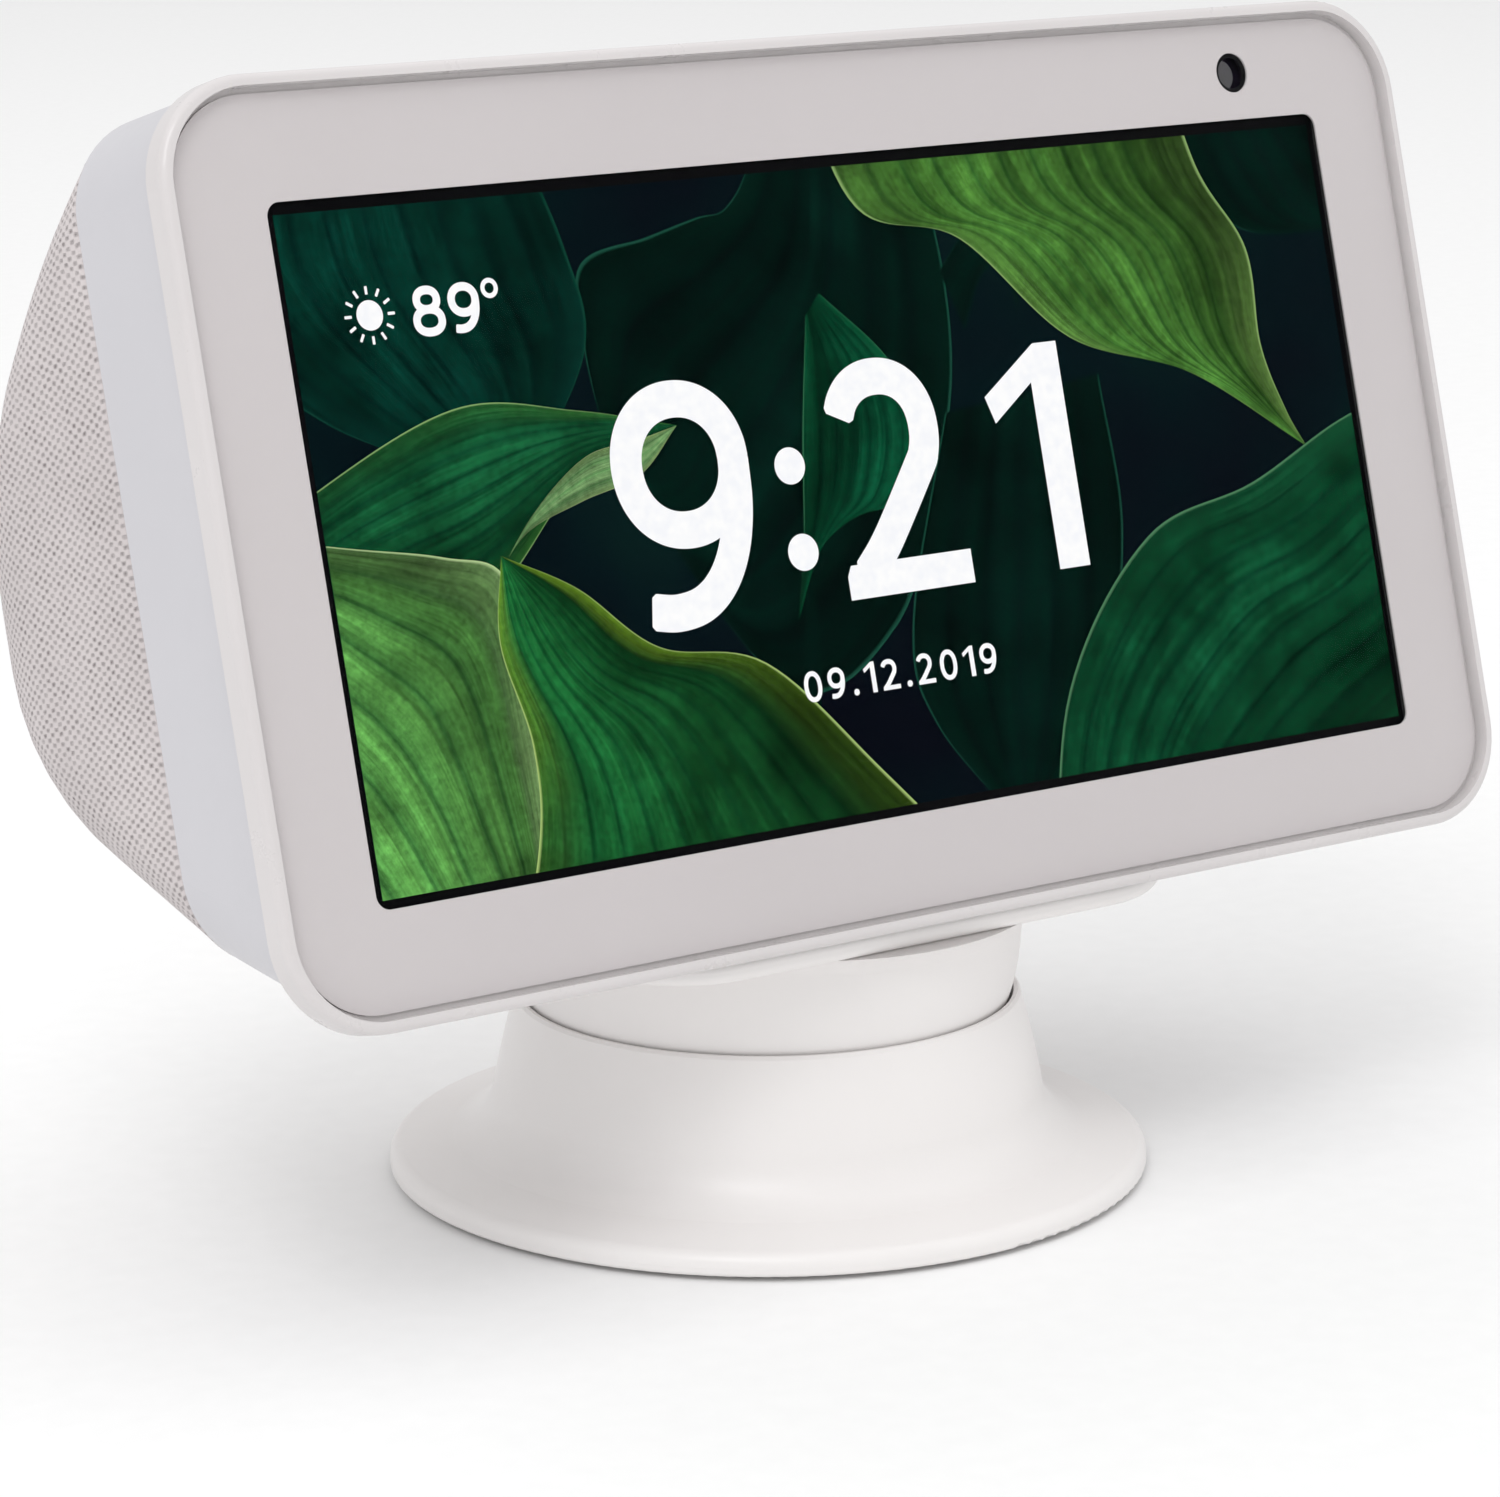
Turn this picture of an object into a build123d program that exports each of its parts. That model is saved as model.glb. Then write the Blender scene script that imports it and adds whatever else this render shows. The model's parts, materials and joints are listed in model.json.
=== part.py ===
"""Smart display that sits on a tilting magnetic stand, millimetres, +Z up.

The origin is the centre of the stand's foot on the floor. The screen faces -Y and +X is to the viewer's right.
Three planes place everything: the floor plane for the fixed stand, the deck plane through the pivot for the
tilting head and the underside of the display, and the face plane on the cover glass for the display itself.
"""
import os
from math import cos, radians, sin, sqrt

from build123d import *

# ---- driving dimensions -------------------------------------------------------------------------------
# stand
FLANGE_R = 39.0            # round foot flange
FLANGE_TOP = 2.9           # height of the flange's rim
DOME_R = 28.2              # dome where it leaves the flange's fillet
SEAM_Z = 18.6              # top rim of the dome, where the ball comes out
PIVOT_Z = 25.9             # centre of the ball and tilt axis
BALL_R = 26.0
BALL_GAP = 0.3             # running gap between ball and seat
DECK_TILT = 5.0            # deck leans forward by this at rest
PIN_R = 1.6

# heights above the pivot, square to the deck
DECK_Z = 8.6               # underside of the display's rubber foot, top of the tray pad
PAD_T = 0.6
TRAY_T = 2.6
FOOT_T = 0.85

# display, measured across and up the face
FACE_LEAN = 20.0           # face leans back from square to the deck
FRONT_W = 148.0
FRONT_H = 87.0
FRONT_Y = 0.35             # frame's middle above the middle of the picture
FRONT_R = 9.8
LIP = 1.15                 # bright lip around the glass
VIEW_W = 126.4             # opening in the ink mask
VIEW_H = 64.4
CAMERA_X = 52.95
CAMERA_Y = 37.05
CAMERA_HOLE_R = 2.05

# depths behind the glass
GLASS_T = 1.1
INK_T = 0.2
LEDGE_D = 1.5              # front of the ledge that carries the glass
FRAME_D = 2.8              # back of the front frame
BAND_D0 = 3.1              # front of the smooth band
BAND_D1 = 17.5             # back of the smooth band, front of the fabric
CHASSIS_D = 5.9
CHASSIS_T = 1.2

# body behind the glass
BODY_HALF_W = 73.5
BODY_TOP = 43.1
BODY_CORNER = 9.4
BACK_R = 76.9              # long curve of the back
BACK_CENTRE_D = -8.4
BACK_CENTRE_Y = -29.4
HEEL_R = 12.0              # curve between the back and the base
SIDE_R = 28.0              # curve between each side and the back, seen from above
SIDE_D = 38.0              # depth at which that curve starts
FABRIC_T = 0.8
SHELL_T = 2.0
BAND_T = 2.2

# controls on the top of the band
BUTTON_D = 12.2
BUTTON_PITCH = 13.0
BUTTON_W = 9.0
BUTTON_T = 4.6
SHUTTER_TRAVEL = 7.5

# ---- planes -------------------------------------------------------------------------------------------
TILT = radians(DECK_TILT)
LEAN = radians(FACE_LEAN)
FACE_FOOT_Y = -43.5        # face line meets the deck here
FACE_FOOT_S = -30.6        # and this far in front of the pivot, along the deck

floor = Plane.XY
deck = Plane(origin=(0, 0, PIVOT_Z), x_dir=(1, 0, 0), z_dir=(0, -sin(TILT), cos(TILT)))
glass_s = FACE_FOOT_S - FACE_FOOT_Y * sin(LEAN)
glass_h = DECK_Z - FACE_FOOT_Y * cos(LEAN)
FACE_TILT = radians(FACE_LEAN - DECK_TILT)
face = Plane(
    origin=deck.from_local_coords(Vector(0, glass_s, glass_h)),
    x_dir=(1, 0, 0),
    z_dir=(0, -cos(FACE_TILT), sin(FACE_TILT)),
)


def face_at(depth):
    """Plane parallel to the glass, this far behind its front."""
    return face.offset(-depth)


def deck_at(height):
    """Plane parallel to the deck, this far above the pivot."""
    return deck.offset(height)


def rear_at(setback):
    """Plane facing straight back along the deck; its x runs to -X and its y up the deck's normal."""
    return Plane(origin=deck.from_local_coords(Vector(0, setback, 0)), x_dir=(-1, 0, 0), z_dir=deck.y_dir)


def face_point(x, y, depth):
    """Point given across, up and behind the glass."""
    return face.from_local_coords(Vector(x, y, -depth))


def deck_point(x, s, height):
    """Point given across, back and above the pivot, on the deck's axes."""
    return deck.from_local_coords(Vector(x, s, height))


finished = []


def finish(part, name):
    """Label a sub-part and queue it for export."""
    part.label = name
    finished.append(part)


# ---- outline of the body behind the glass ------------------------------------------------------------
SHELL_FOOT_Y = FACE_FOOT_Y + FOOT_T / cos(LEAN)
HEEL_START = (-HEEL_R * sin(LEAN), SHELL_FOOT_Y + HEEL_R * cos(LEAN))
heel_dx = HEEL_START[0] - BACK_CENTRE_D
heel_dy = HEEL_START[1] - BACK_CENTRE_Y
heel_b = heel_dx * cos(LEAN) + heel_dy * sin(LEAN)
heel_c = heel_dx**2 + heel_dy**2 - (BACK_R - HEEL_R) ** 2
heel_run = -heel_b + sqrt(heel_b**2 - heel_c)
HEEL_D = HEEL_START[0] + heel_run * cos(LEAN)
HEEL_Y = HEEL_START[1] + heel_run * sin(LEAN)


def top_edge(depth):
    """Height of the back curve at a depth."""
    if depth <= BAND_D1:
        return BODY_TOP
    return BACK_CENTRE_Y + sqrt(BACK_R**2 - (depth - BACK_CENTRE_D) ** 2)


def base_edge(depth):
    """Height of the flat base, and of the heel curve behind it, at a depth."""
    if depth <= HEEL_D + HEEL_R * sin(LEAN):
        return SHELL_FOOT_Y + depth * sin(LEAN) / cos(LEAN)
    return HEEL_Y - sqrt(HEEL_R**2 - (depth - HEEL_D) ** 2)


def half_width(depth):
    """Half the body's width at a depth."""
    if depth <= SIDE_D:
        return BODY_HALF_W
    return BODY_HALF_W - SIDE_R + sqrt(SIDE_R**2 - (depth - SIDE_D) ** 2)


def corner_radius(depth, height):
    """Corner radius of the body's cross-section, growing towards the back but never past a half circle."""
    return min(BODY_CORNER + 0.3 * max(depth - BAND_D1, 0), 0.46 * height)


def section(depth, inset, shift):
    """The body's outline for one depth, drawn in by inset and moved forward by shift."""
    low = base_edge(depth) + inset
    high = top_edge(depth) - inset
    with BuildSketch(face_at(depth - shift)) as outline:
        with Locations((0, (low + high) / 2)):
            RectangleRounded(2 * (half_width(depth) - inset), high - low, corner_radius(depth, high - low))
    return outline.sketch


BACK_DEPTHS = (21.5, 25.5, 29.5, 33.5, 37.5, 41.5, 45, 48.5, 51.5, 54.5, 57, 59.3, 61.3, 62.9, 64.2, 65.1)


def back_solid(inset, shift):
    """Solid of the fabric-covered back, drawn in by inset on all sides and by shift from behind."""
    with BuildPart() as back:
        loft([section(depth, inset, shift) for depth in (BAND_D1 + shift, *BACK_DEPTHS)], ruled=True)
    return back.part


def band_solid(front, inset):
    """Solid of the straight band from a front depth to the fabric, drawn in by inset."""
    with BuildPart() as band:
        loft([section(front, inset, 0), section(BAND_D1, inset, 0)], ruled=True)
    return band.part


def slab(width, height, radius, front, back, x=0.0, y=0.0):
    """Add a rounded slab between two depths behind the glass to the current part."""
    with BuildSketch(face_at(front)) as outline:
        with Locations((x, y)):
            RectangleRounded(width, height, radius)
    extrude(outline.sketch, amount=front - back)


def ring(outer, inner, front, back, y=FRONT_Y, inner_y=None):
    """Add a rounded rectangular ring; outer and inner are (width, height, radius)."""
    with BuildSketch(face_at(front)) as outline:
        with Locations((0, y)):
            RectangleRounded(*outer)
        with Locations((0, y if inner_y is None else inner_y)):
            RectangleRounded(*inner, mode=Mode.SUBTRACT)
    extrude(outline.sketch, amount=front - back)


def pegs(points, radius, front, back, mode=Mode.ADD):
    """Add or cut round pegs between two depths behind the glass."""
    with BuildSketch(face_at(front)) as outline:
        with Locations(*points):
            Circle(radius)
    extrude(outline.sketch, amount=front - back, mode=mode)


# ---- stand: fixed part --------------------------------------------------------------------------------
PLATE_R = 36.0
PLATE_BOTTOM = 0.7
PLATE_TOP = 1.9
BALLAST_TOP = 5.4
BALLAST_R = 23.4
CAVITY_R = 23.9
SEAT_R = BALL_R + BALL_GAP
SEAT_LOW = 15.0
POST_HALF = 4.0
POST_TOP_R = 3.4
POST_T = 5.0
POST_SHOULDER = 4.5
SCREW_RING_R = 8.6

with BuildPart() as foot_pad:
    with BuildSketch(floor):
        Circle(PLATE_R - 0.4)
    extrude(amount=PLATE_BOTTOM)
finish(foot_pad.part, "foot_pad")

with BuildPart() as base_plate:
    with BuildSketch(floor.offset(PLATE_BOTTOM)):
        Circle(PLATE_R)
        with PolarLocations(SCREW_RING_R, 4):
            Circle(1.3, mode=Mode.SUBTRACT)
    extrude(amount=PLATE_TOP - PLATE_BOTTOM)
finish(base_plate.part, "base_plate")


def seat_r(z, radius=SEAT_R):
    """Radius of a sphere about the pivot at height z."""
    return sqrt(radius**2 - (PIVOT_Z - z) ** 2)


with BuildPart() as base_shell:
    with BuildSketch(Plane.XZ):
        with BuildLine():
            Line((PLATE_R + 0.2, 0.5), (FLANGE_R - 0.5, 0.5))
            ThreePointArc((FLANGE_R - 0.5, 0.5), (FLANGE_R - 0.14, 0.64), (FLANGE_R, 1.0))
            Line((FLANGE_R, 1.0), (FLANGE_R, FLANGE_TOP - 1.5))
            RadiusArc((FLANGE_R, FLANGE_TOP - 1.5), (FLANGE_R - 1.4, FLANGE_TOP), -1.45)
            Line((FLANGE_R - 1.4, FLANGE_TOP), (32.6, 3.9))
            ThreePointArc((32.6, 3.9), (29.7, 5.6), (DOME_R, 9.0))
            ThreePointArc((DOME_R, 9.0), (27.2, 13.6), (25.95, SEAM_Z - 0.3))
            Line((25.95, SEAM_Z - 0.3), (25.65, SEAM_Z))
            Line((25.65, SEAM_Z), (seat_r(SEAM_Z), SEAM_Z))
            ThreePointArc((seat_r(SEAM_Z), SEAM_Z), (seat_r(16.8), 16.8), (seat_r(SEAT_LOW), SEAT_LOW))
            Line((seat_r(SEAT_LOW), SEAT_LOW), (CAVITY_R, 7.2))
            Line((CAVITY_R, 7.2), (27.4, 4.0))
            Line((27.4, 4.0), (31.6, 2.6))
            Line((31.6, 2.6), (PLATE_R + 0.2, PLATE_TOP + 0.1))
            Line((PLATE_R + 0.2, PLATE_TOP + 0.1), (PLATE_R + 0.2, 0.5))
        make_face()
    revolve(axis=Axis.Z)
finish(base_shell.part, "base_shell")

with BuildPart() as ballast_ring:
    with BuildSketch(floor.offset(PLATE_TOP)):
        Circle(BALLAST_R)
        Circle(12.6, mode=Mode.SUBTRACT)
    extrude(amount=BALLAST_TOP - PLATE_TOP)
    chamfer(ballast_ring.edges().group_by(Axis.Z)[-1], 0.4)
finish(ballast_ring.part, "ballast_ring")

with BuildPart() as pivot_bracket:
    with BuildSketch(floor.offset(PLATE_TOP)):
        Circle(12.2)
        with PolarLocations(SCREW_RING_R, 4):
            Circle(0.95, mode=Mode.SUBTRACT)
    extrude(amount=2.0)
    with BuildSketch(Plane.YZ):
        with Locations((0, PIVOT_Z)):
            Circle(POST_TOP_R)
        with Locations((0, PIVOT_Z)):
            Rectangle(2 * POST_TOP_R, POST_SHOULDER, align=(Align.CENTER, Align.MAX))
        with Locations((0, PIVOT_Z - POST_SHOULDER)):
            Rectangle(2 * POST_T, PIVOT_Z - POST_SHOULDER - PLATE_TOP, align=(Align.CENTER, Align.MAX))
    extrude(amount=POST_HALF, both=True)
    with BuildSketch(Plane.YZ):
        with Locations((0, PIVOT_Z)):
            Circle(PIN_R + 0.02)
    extrude(amount=POST_HALF + 1, both=True, mode=Mode.SUBTRACT)
finish(pivot_bracket.part, "pivot_bracket")

EAR_R = 4.0
EAR_IN = 4.6
EAR_OUT = 7.0
with BuildPart() as pivot_pin:
    with BuildSketch(Plane.YZ.offset(-EAR_OUT - 2.2)):
        with Locations((0, PIVOT_Z)):
            Circle(2.9)
    extrude(amount=2.0)
    with BuildSketch(Plane.YZ.offset(-EAR_OUT - 0.2)):
        with Locations((0, PIVOT_Z)):
            Circle(PIN_R)
    extrude(amount=2 * EAR_OUT + 3.8)
    chamfer(pivot_pin.edges().group_by(Axis.X)[-1], 0.4)
finish(pivot_pin.part, "pivot_pin")

with BuildPart() as pin_nut:
    with BuildSketch(Plane.YZ.offset(EAR_OUT + 0.2)):
        with Locations((0, PIVOT_Z)):
            RegularPolygon(3.2, 6)
            Circle(PIN_R + 0.02, mode=Mode.SUBTRACT)
    extrude(amount=2.8)
finish(pin_nut.part, "pin_nut")

with BuildPart() as friction_washers:
    for side in (-1, 1):
        with BuildSketch(Plane.YZ.offset(side * POST_HALF)):
            with Locations((0, PIVOT_Z)):
                Circle(POST_TOP_R)
                Circle(PIN_R + 0.1, mode=Mode.SUBTRACT)
        extrude(amount=side * 0.5)
finish(friction_washers.part, "friction_washers")

with BuildPart() as base_screws:
    with BuildSketch(floor.offset(PLATE_TOP)):
        with PolarLocations(SCREW_RING_R, 4):
            Circle(0.9)
    extrude(amount=1.9)
    with BuildSketch(floor.offset(PLATE_BOTTOM)):
        with PolarLocations(SCREW_RING_R, 4):
            Circle(1.25)
    extrude(amount=PLATE_TOP - PLATE_BOTTOM)
finish(base_screws.part, "base_screws")

# ---- stand: tilting head ------------------------------------------------------------------------------
TRAY_BOTTOM = DECK_Z - PAD_T - TRAY_T
TRAY_W = 72.0
TRAY_FRONT = -27.2
TRAY_BACK = 30.8
TRAY_S = (TRAY_FRONT + TRAY_BACK) / 2
TRAY_L = TRAY_BACK - TRAY_FRONT
BALL_WALL = 2.4
BALL_CUT = -14.9
MAGNET_R = 5.0
MAGNET_T = 1.8
BRACKET_T = 1.2
magnet_spots = [(x, TRAY_S + s) for x in (-26, 26) for s in (-18, 18)]
tray_screw_spots = [(x, s) for x in (-12, 12) for s in (-5, 5)]
BALL_IN = BALL_R - BALL_WALL

with BuildPart() as head_shell:
    with BuildSketch(Plane(origin=deck.origin, x_dir=(1, 0, 0), z_dir=-deck.y_dir)):
        with BuildLine():
            ThreePointArc(
                (seat_r(PIVOT_Z + BALL_CUT, BALL_R), BALL_CUT), (seat_r(PIVOT_Z - 7, BALL_R), -7), (BALL_R, 0)
            )
            Line((BALL_R, 0), (BALL_R, TRAY_BOTTOM - 2.6))
            RadiusArc((BALL_R, TRAY_BOTTOM - 2.6), (BALL_R + 2.6, TRAY_BOTTOM), 2.6)
            Line((BALL_R + 2.6, TRAY_BOTTOM), (BALL_IN, TRAY_BOTTOM))
            Line((BALL_IN, TRAY_BOTTOM), (BALL_IN, 0))
            ThreePointArc(
                (BALL_IN, 0), (seat_r(PIVOT_Z - 7, BALL_IN), -7), (seat_r(PIVOT_Z + BALL_CUT, BALL_IN), BALL_CUT)
            )
            Line((seat_r(PIVOT_Z + BALL_CUT, BALL_IN), BALL_CUT), (seat_r(PIVOT_Z + BALL_CUT, BALL_R), BALL_CUT))
        make_face()
    revolve(axis=Axis(deck.origin, deck.z_dir))
finish(head_shell.part, "head_shell")

with BuildPart() as tray_plate:
    with BuildSketch(deck_at(TRAY_BOTTOM)):
        with Locations((0, TRAY_S)):
            RectangleRounded(TRAY_W, TRAY_L, 13)
    extrude(amount=TRAY_T)
    fillet(tray_plate.edges().filter_by(GeomType.LINE).filter_by(Axis.X), 1.1)
    with BuildSketch(deck_at(DECK_Z - PAD_T)):
        with Locations(*magnet_spots):
            Circle(MAGNET_R + 0.1)
    extrude(amount=-MAGNET_T, mode=Mode.SUBTRACT)
    with BuildSketch(deck_at(TRAY_BOTTOM)):
        with Locations(*tray_screw_spots):
            Circle(1.0)
    extrude(amount=2.0, mode=Mode.SUBTRACT)
finish(tray_plate.part, "tray_plate")

with BuildPart() as tray_pad:
    with BuildSketch(deck_at(DECK_Z - PAD_T)):
        with Locations((0, TRAY_S)):
            RectangleRounded(TRAY_W - 7, TRAY_L - 6, 10)
    extrude(amount=PAD_T)
finish(tray_pad.part, "tray_pad")

with BuildPart() as tray_magnets:
    with BuildSketch(deck_at(DECK_Z - PAD_T)):
        with Locations(*magnet_spots):
            Circle(MAGNET_R)
    extrude(amount=-MAGNET_T)
finish(tray_magnets.part, "tray_magnets")

with BuildPart() as head_bracket:
    with BuildSketch(deck_at(TRAY_BOTTOM - BRACKET_T)):
        RectangleRounded(32, 15, 2)
        with Locations(*tray_screw_spots):
            Circle(1.3, mode=Mode.SUBTRACT)
    extrude(amount=BRACKET_T)
    for side in (-1, 1):
        ear_plane = Plane(origin=deck_point(side * EAR_IN, 0, 0), x_dir=deck.y_dir, z_dir=(1, 0, 0))
        with BuildSketch(ear_plane):
            Circle(EAR_R)
            with Locations((0, (TRAY_BOTTOM - BRACKET_T) / 2)):
                Rectangle(2 * EAR_R, TRAY_BOTTOM - BRACKET_T)
            Circle(PIN_R + 0.06, mode=Mode.SUBTRACT)
        extrude(amount=side * (EAR_OUT - EAR_IN))
finish(head_bracket.part, "head_bracket")

with BuildPart() as tray_screws:
    with BuildSketch(deck_at(TRAY_BOTTOM - BRACKET_T - 1.0)):
        with Locations(*tray_screw_spots):
            Circle(1.9)
    extrude(amount=1.0)
    with BuildSketch(deck_at(TRAY_BOTTOM - BRACKET_T)):
        with Locations(*tray_screw_spots):
            Circle(0.98)
    extrude(amount=BRACKET_T + 1.8)
finish(tray_screws.part, "tray_screws")

# ---- display: front ----------------------------------------------------------------------------------
POCKET = (FRONT_W - 2 * LIP, FRONT_H - 2 * LIP, FRONT_R - LIP)
GLASS = (POCKET[0] - 0.2, POCKET[1] - 0.2, POCKET[2] - 0.1)
LEDGE = (140.0, 81.4, 6.0)
LIP_PROUD = 0.2

with BuildPart() as front_frame:
    slab(FRONT_W, FRONT_H, FRONT_R, -LIP_PROUD, FRAME_D, y=FRONT_Y)
    with BuildSketch(face_at(-LIP_PROUD)):
        with Locations((0, FRONT_Y)):
            RectangleRounded(*POCKET)
    extrude(amount=-LIP_PROUD - LEDGE_D, mode=Mode.SUBTRACT)
    with BuildSketch(face_at(LEDGE_D)):
        with Locations((0, FRONT_Y)):
            RectangleRounded(*LEDGE)
    extrude(amount=LEDGE_D - FRAME_D, mode=Mode.SUBTRACT)
    front_edges = front_frame.faces().sort_by(Axis(face.origin, face.z_dir))[-1].outer_wire().edges()
    fillet(front_edges, 0.8)
finish(front_frame.part, "front_frame")

with BuildPart() as cover_glass:
    slab(*GLASS, 0, GLASS_T, y=FRONT_Y)
    glass_front = cover_glass.faces().sort_by(Axis(face.origin, face.z_dir))[-1]
    fillet(glass_front.edges(), 0.25)
finish(cover_glass.part, "cover_glass")

INK = (GLASS[0] - 1.0, GLASS[1] - 1.0, GLASS[2] - 0.5)
with BuildPart() as ink_mask:
    ring(INK, (VIEW_W, VIEW_H, 1.4), GLASS_T, GLASS_T + INK_T, inner_y=0)
    pegs([(CAMERA_X, CAMERA_Y)], CAMERA_HOLE_R, GLASS_T, GLASS_T + INK_T, Mode.SUBTRACT)
finish(ink_mask.part, "ink_mask")

with BuildPart() as glass_adhesive:
    ring(INK, LEDGE, GLASS_T + INK_T, LEDGE_D)
finish(glass_adhesive.part, "glass_adhesive")

PANEL_W = 129.5
PANEL_H = 66.0
PANEL_D = 2.2
with BuildPart() as screen_gasket:
    ring((PANEL_W, PANEL_H, 1.6), (PANEL_W - 2.2, PANEL_H - 1.0, 1.2), GLASS_T + INK_T, PANEL_D, y=0)
finish(screen_gasket.part, "screen_gasket")

with BuildPart() as lcd_panel:
    slab(PANEL_W, PANEL_H, 1.0, PANEL_D, 3.6)
finish(lcd_panel.part, "lcd_panel")

with BuildPart() as backlight:
    slab(PANEL_W, PANEL_H, 1.0, 3.6, 5.4)
finish(backlight.part, "backlight")

with BuildPart() as backlight_pan:
    slab(PANEL_W + 1.6, PANEL_H + 1.6, 1.6, 2.6, CHASSIS_D)
    with BuildSketch(face_at(2.6)):
        RectangleRounded(PANEL_W + 0.6, PANEL_H + 0.6, 1.1)
    extrude(amount=2.6 - 5.4, mode=Mode.SUBTRACT)
finish(backlight_pan.part, "backlight_pan")

CHASSIS_BACK = CHASSIS_D + CHASSIS_T
BOARD_D = 10.2
BOARD_T = 1.2
BOARD_BACK = BOARD_D + BOARD_T
board_holes = [(x, y) for x in (-50, 50) for y in (-24, 24)]
post_spots = [(x, y) for x in (-62, 62) for y in (-22, 26)]
SUNK_HEAD_R = 2.2

with BuildPart() as chassis_plate:
    slab(138, 75.5, 6, CHASSIS_D, CHASSIS_BACK, y=1.0)
    with BuildSketch(face_at(CHASSIS_D)):
        with Locations((CAMERA_X, 38)):
            Rectangle(7, 7)
        with Locations((0, -37)):
            Rectangle(24, 4.6)
        with Locations(*[(x, 0) for x in (-36, 0, 36)]):
            RectangleRounded(26, 34, 4)
        with Locations(*post_spots):
            Circle(1.25)
    extrude(amount=-CHASSIS_T, mode=Mode.SUBTRACT)
    with BuildSketch(face_at(CHASSIS_D)):
        with Locations(*post_spots):
            Circle(SUNK_HEAD_R)
    extrude(amount=1.25 - SUNK_HEAD_R, taper=45, mode=Mode.SUBTRACT)
    pegs(board_holes, 2.5, CHASSIS_BACK, BOARD_D)
    pegs(board_holes, 0.85, CHASSIS_BACK, BOARD_D, Mode.SUBTRACT)
finish(chassis_plate.part, "chassis_plate")

with BuildPart() as chassis_screws:
    pegs(post_spots, 1.1, CHASSIS_D, 14)
    with BuildSketch(face_at(CHASSIS_D)):
        with Locations(*post_spots):
            Circle(SUNK_HEAD_R)
    extrude(amount=1.2 - SUNK_HEAD_R, taper=45)
finish(chassis_screws.part, "chassis_screws")

# ---- display: body -----------------------------------------------------------------------------------
button_spots = [-BUTTON_PITCH, 0.0, BUTTON_PITCH]
top_plane = Plane(origin=face_point(0, BODY_TOP, 0), x_dir=(1, 0, 0), z_dir=face.y_dir)
WALL_IN = BODY_TOP - BAND_T
MIC_X = 30.0
SHUTTER_PARK_X = CAMERA_X + SHUTTER_TRAVEL
NECK_W = 3.0
NECK_T = 2.0
BUTTON_POST_X = 20.5
BUTTON_BOARD_Y = 35.4


def top_at(height):
    """Plane parallel to the band's flat top, at a height up the face; its y runs towards the viewer."""
    return top_plane.offset(height - BODY_TOP)


with BuildPart() as housing_band:
    add(band_solid(BAND_D0, 0))
    add(band_solid(BAND_D0, BAND_T), mode=Mode.SUBTRACT)
    ring((145.2, 83.0, 8.4), (142.6, 80.4, 7.1), FRAME_D, BAND_D0, y=0.9)
    with BuildSketch(top_at(BODY_TOP + 1)):
        with Locations(*[(x, BUTTON_D) for x in button_spots]):
            SlotOverall(BUTTON_W + 0.5, BUTTON_T + 0.5)
        with Locations((CAMERA_X + SHUTTER_TRAVEL / 2, BUTTON_D)):
            Rectangle(SHUTTER_TRAVEL + NECK_W + 0.6, NECK_T + 0.6)
        with Locations((-MIC_X, BUTTON_D), (MIC_X, BUTTON_D)):
            Circle(0.6)
    extrude(amount=-BAND_T - 2, mode=Mode.SUBTRACT)
    with BuildSketch(top_at(WALL_IN + 0.2)):
        with Locations((-BUTTON_POST_X, BUTTON_D), (BUTTON_POST_X, BUTTON_D)):
            Circle(1.3)
    extrude(amount=BUTTON_BOARD_Y - WALL_IN - 0.2)
finish(housing_band.part, "housing_band")

PORT_H = 23.5
PORT_W = 46.0
PORT_T = 10.0
SHELL_SHIFT = FABRIC_T + SHELL_T
COVER_W = 100.0
COVER_L = 33.0
COVER_S = 8.0
SHELL_H = DECK_Z + FOOT_T
COVER_T = 2.2
LEDGE_T = 1.6
cover_screw_spots = [(x, COVER_S + s) for x in (-46, 46) for s in (-12.5, 12.5)]

fabric_outer = back_solid(0, 0)
shell_outer = back_solid(FABRIC_T, FABRIC_T)
shell_inner = back_solid(SHELL_SHIFT, SHELL_SHIFT)


def port_opening():
    """Cut the slot for the sockets through the back of the current part."""
    with BuildSketch(rear_at(36)) as slot:
        with Locations((0, PORT_H)):
            RectangleRounded(PORT_W, PORT_T, 2.4)
    extrude(slot.sketch, amount=12, mode=Mode.SUBTRACT)


def base_opening(width, length, radius, low, high):
    """Cut a rounded opening through the base of the current part."""
    with BuildSketch(deck_at(low)) as opening:
        with Locations((0, COVER_S)):
            RectangleRounded(width, length, radius)
    extrude(opening.sketch, amount=high - low, mode=Mode.SUBTRACT)


with BuildPart() as shell_cavity:
    add(shell_inner)
    pegs(post_spots, 3.6, BAND_D1 - 1, 70, Mode.SUBTRACT)
    with BuildSketch(deck_at(SHELL_H)):
        with Locations((0, COVER_S)):
            RectangleRounded(COVER_W + 6, COVER_L + 6, 8)
    extrude(amount=COVER_T + LEDGE_T, mode=Mode.SUBTRACT)

with BuildPart() as rear_shell:
    add(shell_outer)
    add(shell_cavity.part, mode=Mode.SUBTRACT)
    pegs(post_spots, 3.6, CHASSIS_BACK, BAND_D1 + 1)
    pegs(post_spots, 1.12, CHASSIS_BACK, 16, Mode.SUBTRACT)
    port_opening()
    base_opening(COVER_W, COVER_L, 6, SHELL_H - 1, SHELL_H + COVER_T)
    base_opening(COVER_W - 14, COVER_L - 11, 4, SHELL_H, SHELL_H + COVER_T + LEDGE_T + 1)
finish(rear_shell.part, "rear_shell")

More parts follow.
